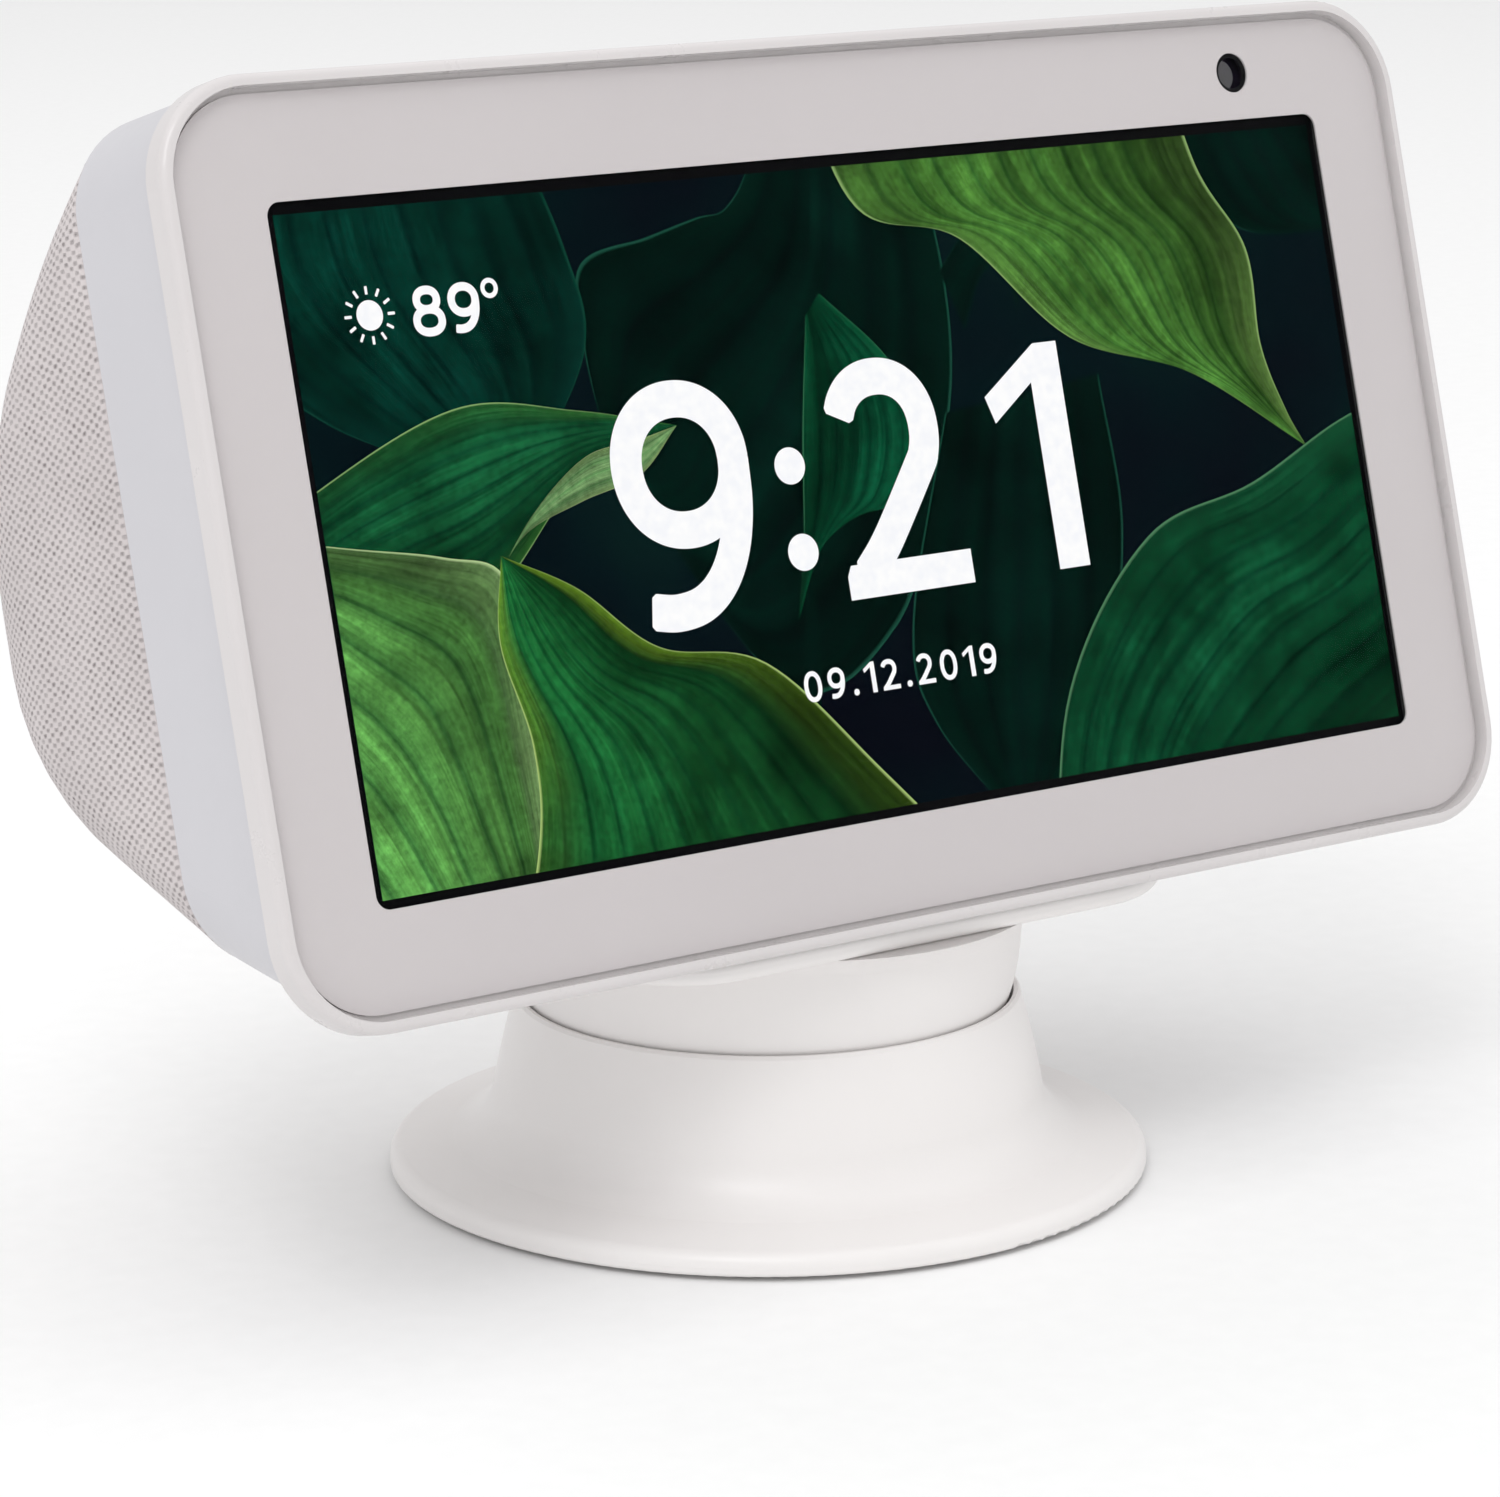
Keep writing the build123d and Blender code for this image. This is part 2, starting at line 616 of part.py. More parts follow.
with BuildPart() as fabric_cover:
    add(fabric_outer)
    add(shell_outer, mode=Mode.SUBTRACT)
    port_opening()
    base_opening(COVER_W, COVER_L, 6, SHELL_H - 2, SHELL_H + 3)
finish(fabric_cover.part, "fabric_cover")

with BuildPart() as bottom_cover:
    with BuildSketch(deck_at(SHELL_H)):
        with Locations((0, COVER_S)):
            RectangleRounded(COVER_W - 0.4, COVER_L - 0.4, 5.8)
        with Locations(*cover_screw_spots):
            Circle(1.3, mode=Mode.SUBTRACT)
    extrude(amount=COVER_T)
finish(bottom_cover.part, "bottom_cover")

with BuildPart() as cover_screws:
    with BuildSketch(deck_at(SHELL_H)):
        with Locations(*cover_screw_spots):
            Circle(1.25)
    extrude(amount=COVER_T)
finish(cover_screws.part, "cover_screws")

with BuildPart() as attach_plate:
    with BuildSketch(deck_at(SHELL_H + COVER_T)):
        with Locations((0, COVER_S)):
            RectangleRounded(COVER_W - 16, COVER_L - 13, 3)
    extrude(amount=1.4)
finish(attach_plate.part, "attach_plate")

with BuildPart() as rubber_foot:
    with BuildSketch(deck_at(DECK_Z)):
        with Locations((0, COVER_S - 1)):
            RectangleRounded(108, 42, 12)
            RectangleRounded(66, 16, 5, mode=Mode.SUBTRACT)
    extrude(amount=FOOT_T)
    fillet(rubber_foot.edges().group_by(Axis(deck.origin, deck.z_dir))[0], 0.3)
finish(rubber_foot.part, "rubber_foot")

# ---- display: electronics ----------------------------------------------------------------------------
with BuildPart() as main_board:
    with BuildSketch(face_at(BOARD_D)):
        RectangleRounded(112, 58, 2)
        with Locations(*board_holes):
            Circle(1.2, mode=Mode.SUBTRACT)
    extrude(amount=-BOARD_T)
finish(main_board.part, "main_board")

with BuildPart() as board_screws:
    pegs(board_holes, 1.9, BOARD_BACK, BOARD_BACK + 1.1)
    pegs(board_holes, 0.8, CHASSIS_BACK + 0.6, BOARD_BACK)
finish(board_screws.part, "board_screws")

with BuildPart() as board_chips:
    for x, y, width, height, thick in (
        (-40, 12, 12, 12, 1.2),
        (-38, -8, 9, 13, 1.0),
        (36, -12, 14, 9, 1.6),
        (36, 14, 8, 8, 0.9),
    ):
        with BuildSketch(face_at(BOARD_BACK)):
            with Locations((x, y)):
                Rectangle(width, height)
        extrude(amount=-thick)
finish(board_chips.part, "board_chips")

CAN_W = 44.0
CAN_H = 34.0
CAN_T = 2.2
with BuildPart() as shield_can:
    slab(CAN_W, CAN_H, 1.5, BOARD_BACK, BOARD_BACK + CAN_T, y=3)
    with BuildSketch(face_at(BOARD_BACK)):
        with Locations((0, 3)):
            Rectangle(CAN_W - 0.8, CAN_H - 0.8)
    extrude(amount=0.4 - CAN_T, mode=Mode.SUBTRACT)
finish(shield_can.part, "shield_can")

with BuildPart() as heat_spreader:
    slab(58, 42, 2, BOARD_BACK + CAN_T, BOARD_BACK + CAN_T + 1.2, y=3)
finish(heat_spreader.part, "heat_spreader")

BOX_D0 = 22.0
BOX_D1 = 38.0
SPEAKER_Y = -1.5
with BuildPart() as speaker_box:
    slab(64, 44, 4, BOX_D0, BOX_D1, y=SPEAKER_Y)
    with BuildSketch(face_at(BOX_D0 + 2)):
        with Locations((0, SPEAKER_Y)):
            RectangleRounded(60, 40, 2.5)
    extrude(amount=BOX_D0 + 4 - BOX_D1, mode=Mode.SUBTRACT)
    pegs([(0, SPEAKER_Y)], 17.6, BOX_D1 - 3, BOX_D1 + 1, Mode.SUBTRACT)
finish(speaker_box.part, "speaker_box")

speaker_axis = Axis(face_point(0, SPEAKER_Y, 0), face.z_dir)
speaker_plane = Plane(origin=face_point(0, SPEAKER_Y, 0), x_dir=(1, 0, 0), z_dir=-face.y_dir)


def speaker_turning(points, name):
    """Revolve a closed outline of (radius, depth) points about the speaker's axis."""
    with BuildPart() as turned:
        with BuildSketch(speaker_plane):
            with BuildLine():
                Polyline([(radius, -depth) for radius, depth in points], close=True)
            make_face()
        revolve(axis=speaker_axis)
    finish(turned.part, name)


speaker_turning(
    [(17.5, 38), (21, 38), (21, 39.4), (17.4, 39.4), (11, 31), (2, 31), (2, 30), (11.8, 30), (17.4, 37.6)],
    "speaker_frame",
)
speaker_turning([(0, 25), (10.5, 25), (10.5, 29.9), (0, 29.9)], "speaker_magnet")
speaker_turning(
    [(0, 36.2), (4.5, 35), (15.5, 38.9), (16.4, 38.9), (16.4, 39.3), (15.2, 39.4), (4.5, 35.6), (0, 36.8)],
    "speaker_cone",
)

with BuildPart() as camera_module:
    slab(5.8, 5.8, 0.6, 2.6, CHASSIS_D, x=CAMERA_X, y=CAMERA_Y - 0.1)
finish(camera_module.part, "camera_module")

with BuildPart() as camera_lens:
    pegs([(CAMERA_X, CAMERA_Y)], 2.4, 2.1, 2.6)
    lens_front = camera_lens.faces().sort_by(Axis(face.origin, face.z_dir))[-1]
    fillet(lens_front.edges(), 0.3)
finish(camera_lens.part, "camera_lens")

SWITCH_H = 2.0
with BuildPart() as button_board:
    with BuildSketch(top_at(BUTTON_BOARD_Y)):
        with Locations((0, BUTTON_D)):
            RectangleRounded(44, 8, 1)
    extrude(amount=-1.0)
finish(button_board.part, "button_board")

with BuildPart() as button_switches:
    with BuildSketch(top_at(BUTTON_BOARD_Y)):
        with Locations(*[(x, BUTTON_D) for x in button_spots]):
            RectangleRounded(4.5, 4.5, 0.4)
    extrude(amount=SWITCH_H)
    with BuildSketch(top_at(BUTTON_BOARD_Y + SWITCH_H)):
        with Locations(*[(x, BUTTON_D) for x in button_spots]):
            Circle(1.2)
    extrude(amount=0.6)
finish(button_switches.part, "button_switches")

with BuildPart() as microphones:
    with BuildSketch(top_at(WALL_IN - 1.3)):
        with Locations((-MIC_X, BUTTON_D), (MIC_X, BUTTON_D)):
            RectangleRounded(5, 4, 0.4)
            Circle(0.5, mode=Mode.SUBTRACT)
    extrude(amount=1.3)
finish(microphones.part, "microphones")

# ---- display: sockets at the back ---------------------------------------------------------------------
PLATE_IN = 37.0
PLATE_OUT = 41.6
FLANGE_IN = 35.6
NOSE_OUT = PLATE_OUT - 0.3
POWER_X = -14.0
AUDIO_X = 14.0
PORT_BOARD_H = 19.0
SOCKET_H = PORT_H - PORT_BOARD_H

with BuildPart() as port_plate:
    with BuildSketch(rear_at(FLANGE_IN)):
        with Locations((0, PORT_H)):
            RectangleRounded(PORT_W + 3, PORT_T + 1.6, 2.5)
    extrude(amount=PLATE_IN - FLANGE_IN)
    with BuildSketch(rear_at(PLATE_IN)):
        with Locations((0, PORT_H)):
            RectangleRounded(PORT_W - 0.5, PORT_T - 0.5, 2.2)
    extrude(amount=PLATE_OUT - PLATE_IN)
    with BuildSketch(rear_at(FLANGE_IN)):
        with Locations((POWER_X, PORT_H)):
            Circle(3.4)
        with Locations((0, PORT_H)):
            RectangleRounded(8.6, 3.4, 0.9)
        with Locations((AUDIO_X, PORT_H)):
            Circle(2.6)
    extrude(amount=PLATE_OUT - FLANGE_IN, mode=Mode.SUBTRACT)
finish(port_plate.part, "port_plate")


def socket_body(width, depth, top):
    """Add a socket's housing standing on the port board, its mouth against the port plate."""
    x, half = width
    with BuildSketch(rear_at(FLANGE_IN - depth)) as housing:
        with Locations((x, PORT_BOARD_H + top / 2)):
            RectangleRounded(2 * half, top, 0.5)
    extrude(housing.sketch, amount=depth)


with BuildPart() as port_board:
    with BuildSketch(deck_at(PORT_BOARD_H - 1.0)):
        with Locations((0, 29)):
            Rectangle(42, 12.8)
    extrude(amount=1.0)
finish(port_board.part, "port_board")

with BuildPart() as power_jack:
    socket_body((POWER_X, 4.5), 11, 2 * SOCKET_H)
    with BuildSketch(rear_at(FLANGE_IN)):
        with Locations((POWER_X, PORT_H)):
            Circle(3.3)
    extrude(amount=NOSE_OUT - FLANGE_IN)
    with BuildSketch(rear_at(NOSE_OUT)):
        with Locations((POWER_X, PORT_H)):
            Circle(2.75)
    extrude(amount=-10, mode=Mode.SUBTRACT)
    with BuildSketch(rear_at(NOSE_OUT - 10)):
        with Locations((POWER_X, PORT_H)):
            Circle(0.8)
    extrude(amount=9)
finish(power_jack.part, "power_jack")

with BuildPart() as usb_socket:
    socket_body((0, 4.2), 6, SOCKET_H + 1.6)
    with BuildSketch(rear_at(FLANGE_IN)):
        with Locations((0, PORT_H)):
            RectangleRounded(8.2, 3.0, 0.8)
    extrude(amount=NOSE_OUT - FLANGE_IN)
    with BuildSketch(rear_at(NOSE_OUT)):
        with Locations((0, PORT_H)):
            RectangleRounded(7.4, 2.2, 0.5)
        with Locations((0, PORT_H + 0.3)):
            Rectangle(4.4, 0.6, mode=Mode.SUBTRACT)
    extrude(amount=-8, mode=Mode.SUBTRACT)
finish(usb_socket.part, "usb_socket")

with BuildPart() as audio_jack:
    socket_body((AUDIO_X, 3.6), 12, SOCKET_H + 3.4)
    with BuildSketch(rear_at(FLANGE_IN)):
        with Locations((AUDIO_X, PORT_H)):
            Circle(2.5)
    extrude(amount=NOSE_OUT - FLANGE_IN)
    with BuildSketch(rear_at(NOSE_OUT)):
        with Locations((AUDIO_X, PORT_H)):
            Circle(1.8)
    extrude(amount=-14, mode=Mode.SUBTRACT)
finish(audio_jack.part, "audio_jack")

# ---- display: flexible leads --------------------------------------------------------------------------
FLEX_T = 0.2


def ribbon(points, radius, x, width, name):
    """Flat ribbon that follows (depth, y) points behind the glass, centred at x."""
    side_plane = Plane(origin=face_point(x - width / 2, 0, 0), x_dir=-face.z_dir, z_dir=(1, 0, 0))
    with BuildPart() as flex:
        with BuildSketch(side_plane):
            with BuildLine():
                FilletPolyline([(depth, y) for depth, y in points], radius=radius)
            trace(line_width=FLEX_T)
        extrude(amount=width)
    finish(flex.part, name)


ribbon([(4.4, -34.15), (4.4, -36), (10.1, -36), (10.1, -26.8)], 1.0, 0, 20, "screen_flex")
ribbon([(CHASSIS_D, CAMERA_Y - 1), (10.1, CAMERA_Y - 1), (10.1, 27.4)], 2.0, CAMERA_X, 5, "camera_flex")


def lead(points, bend, radius, name, spread=0.0):
    """Round insulated leads through points behind the glass, two side by side where spread is given."""
    with BuildPart() as wire:
        for offset in (0.0,) if spread == 0 else (-spread, spread):
            corners = [face_point(x, y + offset, depth) for x, y, depth in points]
            with BuildLine() as path:
                FilletPolyline(*corners, radius=bend)
            with BuildSketch(Plane(origin=corners[0], z_dir=corners[1] - corners[0])):
                Circle(radius)
            sweep(path=path.wire())
    finish(wire.part, name)


lead([(-34, -16, BOARD_BACK), (-34, -16, 17), (-28, -12, 17), (-28, -12, BOX_D0)], 2.0, 0.45, "speaker_leads", 0.7)
lead([(44, -18, BOARD_BACK), (44, -18, 38), (38, -16, 47), (21.4, -15.3, 49.4)], 5.0, 0.9, "port_lead")

# ---- controls ----------------------------------------------------------------------------------------
CAP_TOP = BODY_TOP + 0.7
for x, name in zip(button_spots, ("mute_button", "volume_down_button", "volume_up_button")):
    with BuildPart() as button:
        with BuildSketch(top_at(WALL_IN - 0.4)):
            with Locations((x, BUTTON_D)):
                SlotOverall(BUTTON_W, BUTTON_T)
        extrude(amount=CAP_TOP - WALL_IN + 0.4)
        cap_face = button.faces().sort_by(Axis(face.origin, face.y_dir))[-1]
        fillet(cap_face.edges(), 0.5)
        with BuildSketch(top_at(WALL_IN - 0.9)):
            with Locations((x, BUTTON_D)):
                SlotOverall(BUTTON_W + 2, BUTTON_T + 1.6)
        extrude(amount=0.6)
        with BuildSketch(top_at(BUTTON_BOARD_Y + SWITCH_H + 1.4)):
            with Locations((x, BUTTON_D)):
                Circle(1.5)
        extrude(amount=WALL_IN - 0.9 - BUTTON_BOARD_Y - SWITCH_H - 1.4)
    finish(button.part, name)

ARM_Y = WALL_IN - 0.7
ARM_T = 0.4
BLADE_D = GLASS_T + INK_T + 0.15
with BuildPart() as shutter_blade:
    with BuildSketch(face_at(BLADE_D)):
        with Locations((SHUTTER_PARK_X, (34.3 + ARM_Y + ARM_T) / 2)):
            Rectangle(6.4, ARM_Y + ARM_T - 34.3)
    extrude(amount=-0.3)
    with BuildSketch(top_at(ARM_Y)):
        with Locations((SHUTTER_PARK_X, (BLADE_D + BUTTON_D + NECK_T / 2) / 2)):
            Rectangle(NECK_W, BUTTON_D + NECK_T / 2 - BLADE_D)
    extrude(amount=ARM_T)
finish(shutter_blade.part, "shutter_blade")

KNOB_GAP = 0.2
with BuildPart() as shutter_knob:
    with BuildSketch(top_at(ARM_Y + ARM_T)):
        with Locations((SHUTTER_PARK_X, BUTTON_D)):
            Rectangle(NECK_W, NECK_T)
    extrude(amount=BODY_TOP + KNOB_GAP - ARM_Y - ARM_T)
    with BuildSketch(top_at(BODY_TOP + KNOB_GAP)):
        with Locations((SHUTTER_PARK_X, BUTTON_D)):
            RectangleRounded(7, 4, 1.2)
    extrude(amount=0.9)
    knob_top = shutter_knob.faces().sort_by(Axis(face.origin, face.y_dir))[-1]
    fillet(knob_top.edges(), 0.3)
    with BuildSketch(top_at(BODY_TOP + KNOB_GAP + 0.9)):
        with GridLocations(1.2, 0, 4, 1):
            with Locations((SHUTTER_PARK_X, BUTTON_D)):
                Rectangle(0.4, 2.8)
    extrude(amount=-0.3, mode=Mode.SUBTRACT)
finish(shutter_knob.part, "shutter_knob")

# ---- export ------------------------------------------------------------------------------------------
os.makedirs("parts", exist_ok=True)
for part in finished:
    export_step(part, f"parts/{part.label}.step")
print(len(finished), "sub-parts written")
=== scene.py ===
"""Looks of the smart display and its tilting stand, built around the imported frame.

Metres, +Z up, screen to -Y. Lengths named here are in millimetres, and MM turns them into metres.
"""
import json
import math

import bmesh
import bpy
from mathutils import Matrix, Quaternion, Vector


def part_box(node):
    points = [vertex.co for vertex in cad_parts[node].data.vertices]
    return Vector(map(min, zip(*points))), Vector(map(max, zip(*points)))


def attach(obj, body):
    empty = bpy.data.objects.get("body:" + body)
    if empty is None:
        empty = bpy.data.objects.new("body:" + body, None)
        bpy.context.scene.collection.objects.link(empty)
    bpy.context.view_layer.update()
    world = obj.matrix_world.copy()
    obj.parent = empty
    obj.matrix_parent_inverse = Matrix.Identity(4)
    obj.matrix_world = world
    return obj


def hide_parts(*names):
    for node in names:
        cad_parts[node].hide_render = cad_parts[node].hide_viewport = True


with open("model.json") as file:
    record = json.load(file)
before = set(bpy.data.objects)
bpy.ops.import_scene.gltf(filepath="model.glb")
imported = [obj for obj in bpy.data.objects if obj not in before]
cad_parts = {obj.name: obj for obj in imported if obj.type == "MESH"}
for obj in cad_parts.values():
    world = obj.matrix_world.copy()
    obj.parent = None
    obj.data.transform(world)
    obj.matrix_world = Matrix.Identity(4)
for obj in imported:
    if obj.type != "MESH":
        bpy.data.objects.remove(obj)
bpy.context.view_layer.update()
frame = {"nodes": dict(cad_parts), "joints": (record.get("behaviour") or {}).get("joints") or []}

MM = 0.001

# ---- places, worked out from the frame ---------------------------------------------------------------
joints = {joint["name"]: joint for joint in frame["joints"]}
DECK_UP = Vector(joints["display_lift"]["axis"]).normalized()
DECK_BACK = Vector((0, DECK_UP.z, -DECK_UP.y))
PIVOT = Vector(joints["head_tilt"]["pos_m"])
FACE_UP = -Vector(joints["mute_press"]["axis"]).normalized()
FACE_OUT = Vector((0, -FACE_UP.z, FACE_UP.y))
RIGHT = Vector((1, 0, 0))


def node_box(name):
    """Lowest and highest corner of a CAD node, as vectors."""
    low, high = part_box(name)
    return Vector(low), Vector(high)


def span_along(name, axis):
    """Least and greatest distance of a node's vertices along an axis, from the row's origin."""
    mesh = frame["nodes"][name].data
    reach = [vertex.co.dot(axis) for vertex in mesh.vertices]
    return min(reach), max(reach)


# the face's origin is on the glass's front, in the middle of the picture
glass_front = span_along("cover_glass", FACE_OUT)[1]
panel_low, panel_high = span_along("lcd_panel", FACE_UP)
FACE = FACE_OUT * glass_front + FACE_UP * (panel_low + panel_high) / 2


def on_face(x, y, depth=0.0):
    """Row-frame point given in millimetres across, up and behind the glass."""
    return FACE + RIGHT * (x * MM) + FACE_UP * (y * MM) - FACE_OUT * (depth * MM)


def deck_point(x, s, h):
    """Row-frame point given in millimetres across, back and above the pivot on the deck's axes."""
    return PIVOT + RIGHT * (x * MM) + DECK_BACK * (s * MM) + DECK_UP * (h * MM)


# ---- small helpers -----------------------------------------------------------------------------------
def new_object(name, mesh, material, body=None, smooth=True):
    """Link a mesh object, give it a material and a body to ride on."""
    obj = bpy.data.objects.new(name, mesh)
    bpy.context.scene.collection.objects.link(obj)
    mesh.materials.append(material)
    for polygon in mesh.polygons:
        polygon.use_smooth = smooth
    if body:
        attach(obj, body)
    return obj


def mesh_from(name, vertices, faces):
    """Mesh from points and faces."""
    mesh = bpy.data.meshes.new(name)
    mesh.from_pydata([tuple(v) for v in vertices], [], faces)
    mesh.update()
    return mesh


def spline(points, count):
    """Evenly stepped points on a smooth curve through the given ones."""
    pts = [Vector((*p, 0)) if len(p) == 2 else Vector(p) for p in points]
    padded = [2 * pts[0] - pts[1], *pts, 2 * pts[-1] - pts[-2]]
    made = []
    for step in range(count):
        place = step / (count - 1) * (len(pts) - 1)
        k = min(int(place), len(pts) - 2)
        t = place - k
        a, b, c, d = padded[k : k + 4]
        slope, bend, twist = c - a, 2 * a - 5 * b + 4 * c - d, 3 * b - a - 3 * c + d
        made.append(0.5 * ((2 * b) + slope * t + bend * t**2 + twist * t**3))
    return made


# ---- material nodes ----------------------------------------------------------------------------------
class Shader:
    """A material whose nodes are added by short calls."""

    def __init__(self, name, colour=(0.8, 0.8, 0.8), roughness=0.5, **sockets):
        self.material = bpy.data.materials.new(name)
        self.material.use_nodes = True
        self.tree = self.material.node_tree
        self.surface = self.tree.nodes["Principled BSDF"]
        self.set("Base Color", (*colour, 1.0))
        self.set("Roughness", roughness)
        for socket, value in sockets.items():
            self.set(socket.replace("_", " "), value)

    def set(self, socket, value):
        """Set one of the surface's own sockets."""
        self.surface.inputs[socket].default_value = value

    def node(self, kind, links=None, **values):
        """Add a node; links joins its inputs, values sets its properties or input defaults."""
        made = self.tree.nodes.new(kind)
        for key, value in values.items():
            if hasattr(made, key):
                setattr(made, key, value)
            else:
                made.inputs[key.replace("_", " ")].default_value = value
        for key, source in (links or {}).items():
            self.tree.links.new(source, made.inputs[key])
        return made

    def join(self, source, socket):
        """Drive one of the surface's sockets from a node's output."""
        self.tree.links.new(source, self.surface.inputs[socket])

    def place(self):
        """Coordinates in the row frame, in metres; the same at every pose."""
        return self.node("ShaderNodeTexCoord").outputs["Object"]

    def math(self, operation, a, b=None, clamp=False):
        """A Math node on outputs or numbers."""
        made = self.tree.nodes.new("ShaderNodeMath")
        made.operation = operation
        made.use_clamp = clamp
        for k, value in enumerate((a, b)):
            if value is None:
                continue
            if isinstance(value, (int, float)):
                made.inputs[k].default_value = value
            else:
                self.tree.links.new(value, made.inputs[k])
        return made.outputs[0]

    def noise(self, scale, detail=3.0, roughness=0.5, where=None):
        """Noise factor at a scale per metre."""
        links = {"Vector": where or self.place()}
        values = {"Scale": scale, "Detail": detail, "Roughness": roughness}
        return self.node("ShaderNodeTexNoise", links, **values).outputs["Fac"]

    def spread(self, factor, low, high, floor=0.3, top=0.7):
        """Map the middle of a factor's range to low..high."""
        links = {"Value": factor}
        values = {"From_Min": floor, "From_Max": top, "To_Min": low, "To_Max": high}
        return self.node("ShaderNodeMapRange", links, **values).outputs["Result"]

    def mix(self, factor, one, other, blend="MIX"):
        """Mix two colours; each is an output or an RGB tuple."""
        made = self.node("ShaderNodeMix", data_type="RGBA", blend_type=blend)
        for socket, value in ((0, factor), (6, one), (7, other)):
            if isinstance(value, tuple):
                made.inputs[socket].default_value = (*value, 1.0)
            elif isinstance(value, (int, float)):
                made.inputs[socket].default_value = value
            else:
                self.tree.links.new(value, made.inputs[socket])
        return made.outputs[2]

    def ramp(self, factor, stops):
        """Colour ramp from (place, rgb) stops."""
        made = self.node("ShaderNodeValToRGB", {"Fac": factor})
        elements = made.color_ramp.elements
        while len(elements) < len(stops):
            elements.new(0.5)
        for element, (place, colour) in zip(elements, stops):
            element.position = place
            element.color = (*colour, 1.0)
        return made.outputs["Color"]

    def bump(self, height, strength, distance):
        """Bump from a height factor; distance in metres."""
        made = self.node("ShaderNodeBump", {"Height": height}, Strength=strength, Distance=distance)
        self.join(made.outputs["Normal"], "Normal")


def moulded(name, colour, roughness=0.45, grain=2600.0, depth=0.00002, tint=0.03, **sockets):
    """Moulded plastic: fine grain, slow mottling of colour and roughness, faint handling marks."""
    made = Shader(name, colour, roughness, **sockets)
    slow = made.noise(38.0, 2.0)
    fine = made.noise(grain, 4.0, 0.6)
    marks = made.noise(210.0, 5.0, 0.7)
    darker = tuple(c * (1 - tint) for c in colour)
    lighter = tuple(min(c * (1 + tint), 1.0) for c in colour)
    made.join(made.mix(made.spread(slow, 0, 1), darker, lighter), "Base Color")
    made.join(made.spread(marks, roughness - 0.05, roughness + 0.07), "Roughness")
    made.bump(fine, 0.35, depth)
    return made.material


def metal(name, colour, roughness=0.32, streaks=(4.0, 900.0, 4.0)):
    """Brushed or plated metal with fine streaks."""
    made = Shader(name, colour, roughness, Metallic=1.0)
    stretched = made.node("ShaderNodeMapping", {"Vector": made.place()}, Scale=streaks).outputs["Vector"]
    brushed = made.noise(1.0, 3.0, 0.6, stretched)
    duller = tuple(c * 0.86 for c in colour)
    made.join(made.mix(made.spread(brushed, 0, 1), duller, colour), "Base Color")
    made.join(made.spread(brushed, roughness - 0.08, roughness + 0.12), "Roughness")
    made.bump(brushed, 0.2, 0.00001)
    return made.material


def rubbery(name, colour, roughness=0.75):
    """Silicone or rubber with a dusty, pebbled skin."""
    made = Shader(name, colour, roughness)
    dust = made.noise(160.0, 4.0, 0.65)
    dusty = tuple(min(c * 1.25 + 0.01, 1) for c in colour)
    made.join(made.mix(made.spread(dust, 0, 1), colour, dusty), "Base Color")
    made.join(made.spread(dust, roughness - 0.08, roughness + 0.1), "Roughness")
    made.bump(made.noise(3000.0, 2.0), 0.4, 0.00003)
    return made.material


def circuit_board(name):
    """Solder mask with copper tracks showing through as a lighter pattern."""
    made = Shader(name, (0.01, 0.09, 0.04), 0.32, Coat_Weight=0.4)
    cells = made.node("ShaderNodeTexVoronoi", {"Vector": made.place()}, Scale=420.0, distance="MANHATTAN")
    copper, covered, mask = (0.75, 0.62, 0.3), (0.02, 0.2, 0.09), (0.008, 0.08, 0.04)
    tracks = made.ramp(cells.outputs["Distance"], ((0.0, copper), (0.08, covered), (0.5, mask)))
    made.join(tracks, "Base Color")
    made.bump(cells.outputs["Distance"], 0.2, 0.00004)
    return made.material


def woven(name, colour, pit_and_shade, across_pitch, along_pitch):
    """Speaker cloth: staggered fine pits between rounded threads that wander a little, with fuzz; the pits
    are painted darker, partly as their own darker gaps and partly as painted shade in the hollows.
    """
    made = Shader(name, colour, 0.9, Sheen_Weight=0.15, Sheen_Roughness=0.5)
    cloth = made.node("ShaderNodeUVMap", uv_map="cloth").outputs["UV"]
    parts = made.node("ShaderNodeSeparateXYZ", {"Vector": cloth})
    wander = made.node("ShaderNodeTexNoise", {"Vector": made.place()}, Scale=420.0, Detail=2.0)
    sway = made.node("ShaderNodeSeparateColor", {"Color": wander.outputs["Color"]})
    u = made.math("ADD", parts.outputs["X"], made.math("MULTIPLY", sway.outputs["Red"], across_pitch * 0.5))
    v = made.math("ADD", parts.outputs["Y"], made.math("MULTIPLY", sway.outputs["Green"], along_pitch * 0.5))
    wave_u = made.math("COSINE", made.math("MULTIPLY", u, math.pi / across_pitch))
    wave_v = made.math("COSINE", made.math("MULTIPLY", v, 2 * math.pi / along_pitch))
    open_share = made.spread(made.math("MULTIPLY", wave_u, wave_v), 0.0, 1.0, 0.0, 0.95)
    depth = made.math("MULTIPLY", open_share, made.spread(made.noise(700.0, 1.0), 0.45, 1.0))
    slant = made.math("ADD", u, made.math("MULTIPLY", v, 2.0))
    twist = made.math("SINE", made.math("MULTIPLY", slant, 14 * math.pi / across_pitch))
    fibres = made.noise(7000.0, 2.0, 0.7)
    strands = made.math("ADD", made.math("MULTIPLY", twist, 0.06), made.math("MULTIPLY", fibres, 0.3))
    # lightness falls with pit depth, so the pits come out darker: partly their own darker gap, partly painted
    # shade; it drives the bump too
    lightness = made.math("ADD", made.math("SUBTRACT", 0.9, depth), strands, clamp=True)
    tone = made.ramp(lightness, ((0.0, pit_and_shade), (0.55, colour), (1.0, tuple(min(c * 1.18, 1) for c in colour))))
    made.join(made.mix(made.spread(made.noise(60.0, 3.0), 0.0, 0.14), tone, pit_and_shade), "Base Color")
    made.join(made.spread(fibres, 0.82, 0.98), "Roughness")
    made.bump(lightness, 0.9, 0.00025)
    return made.material


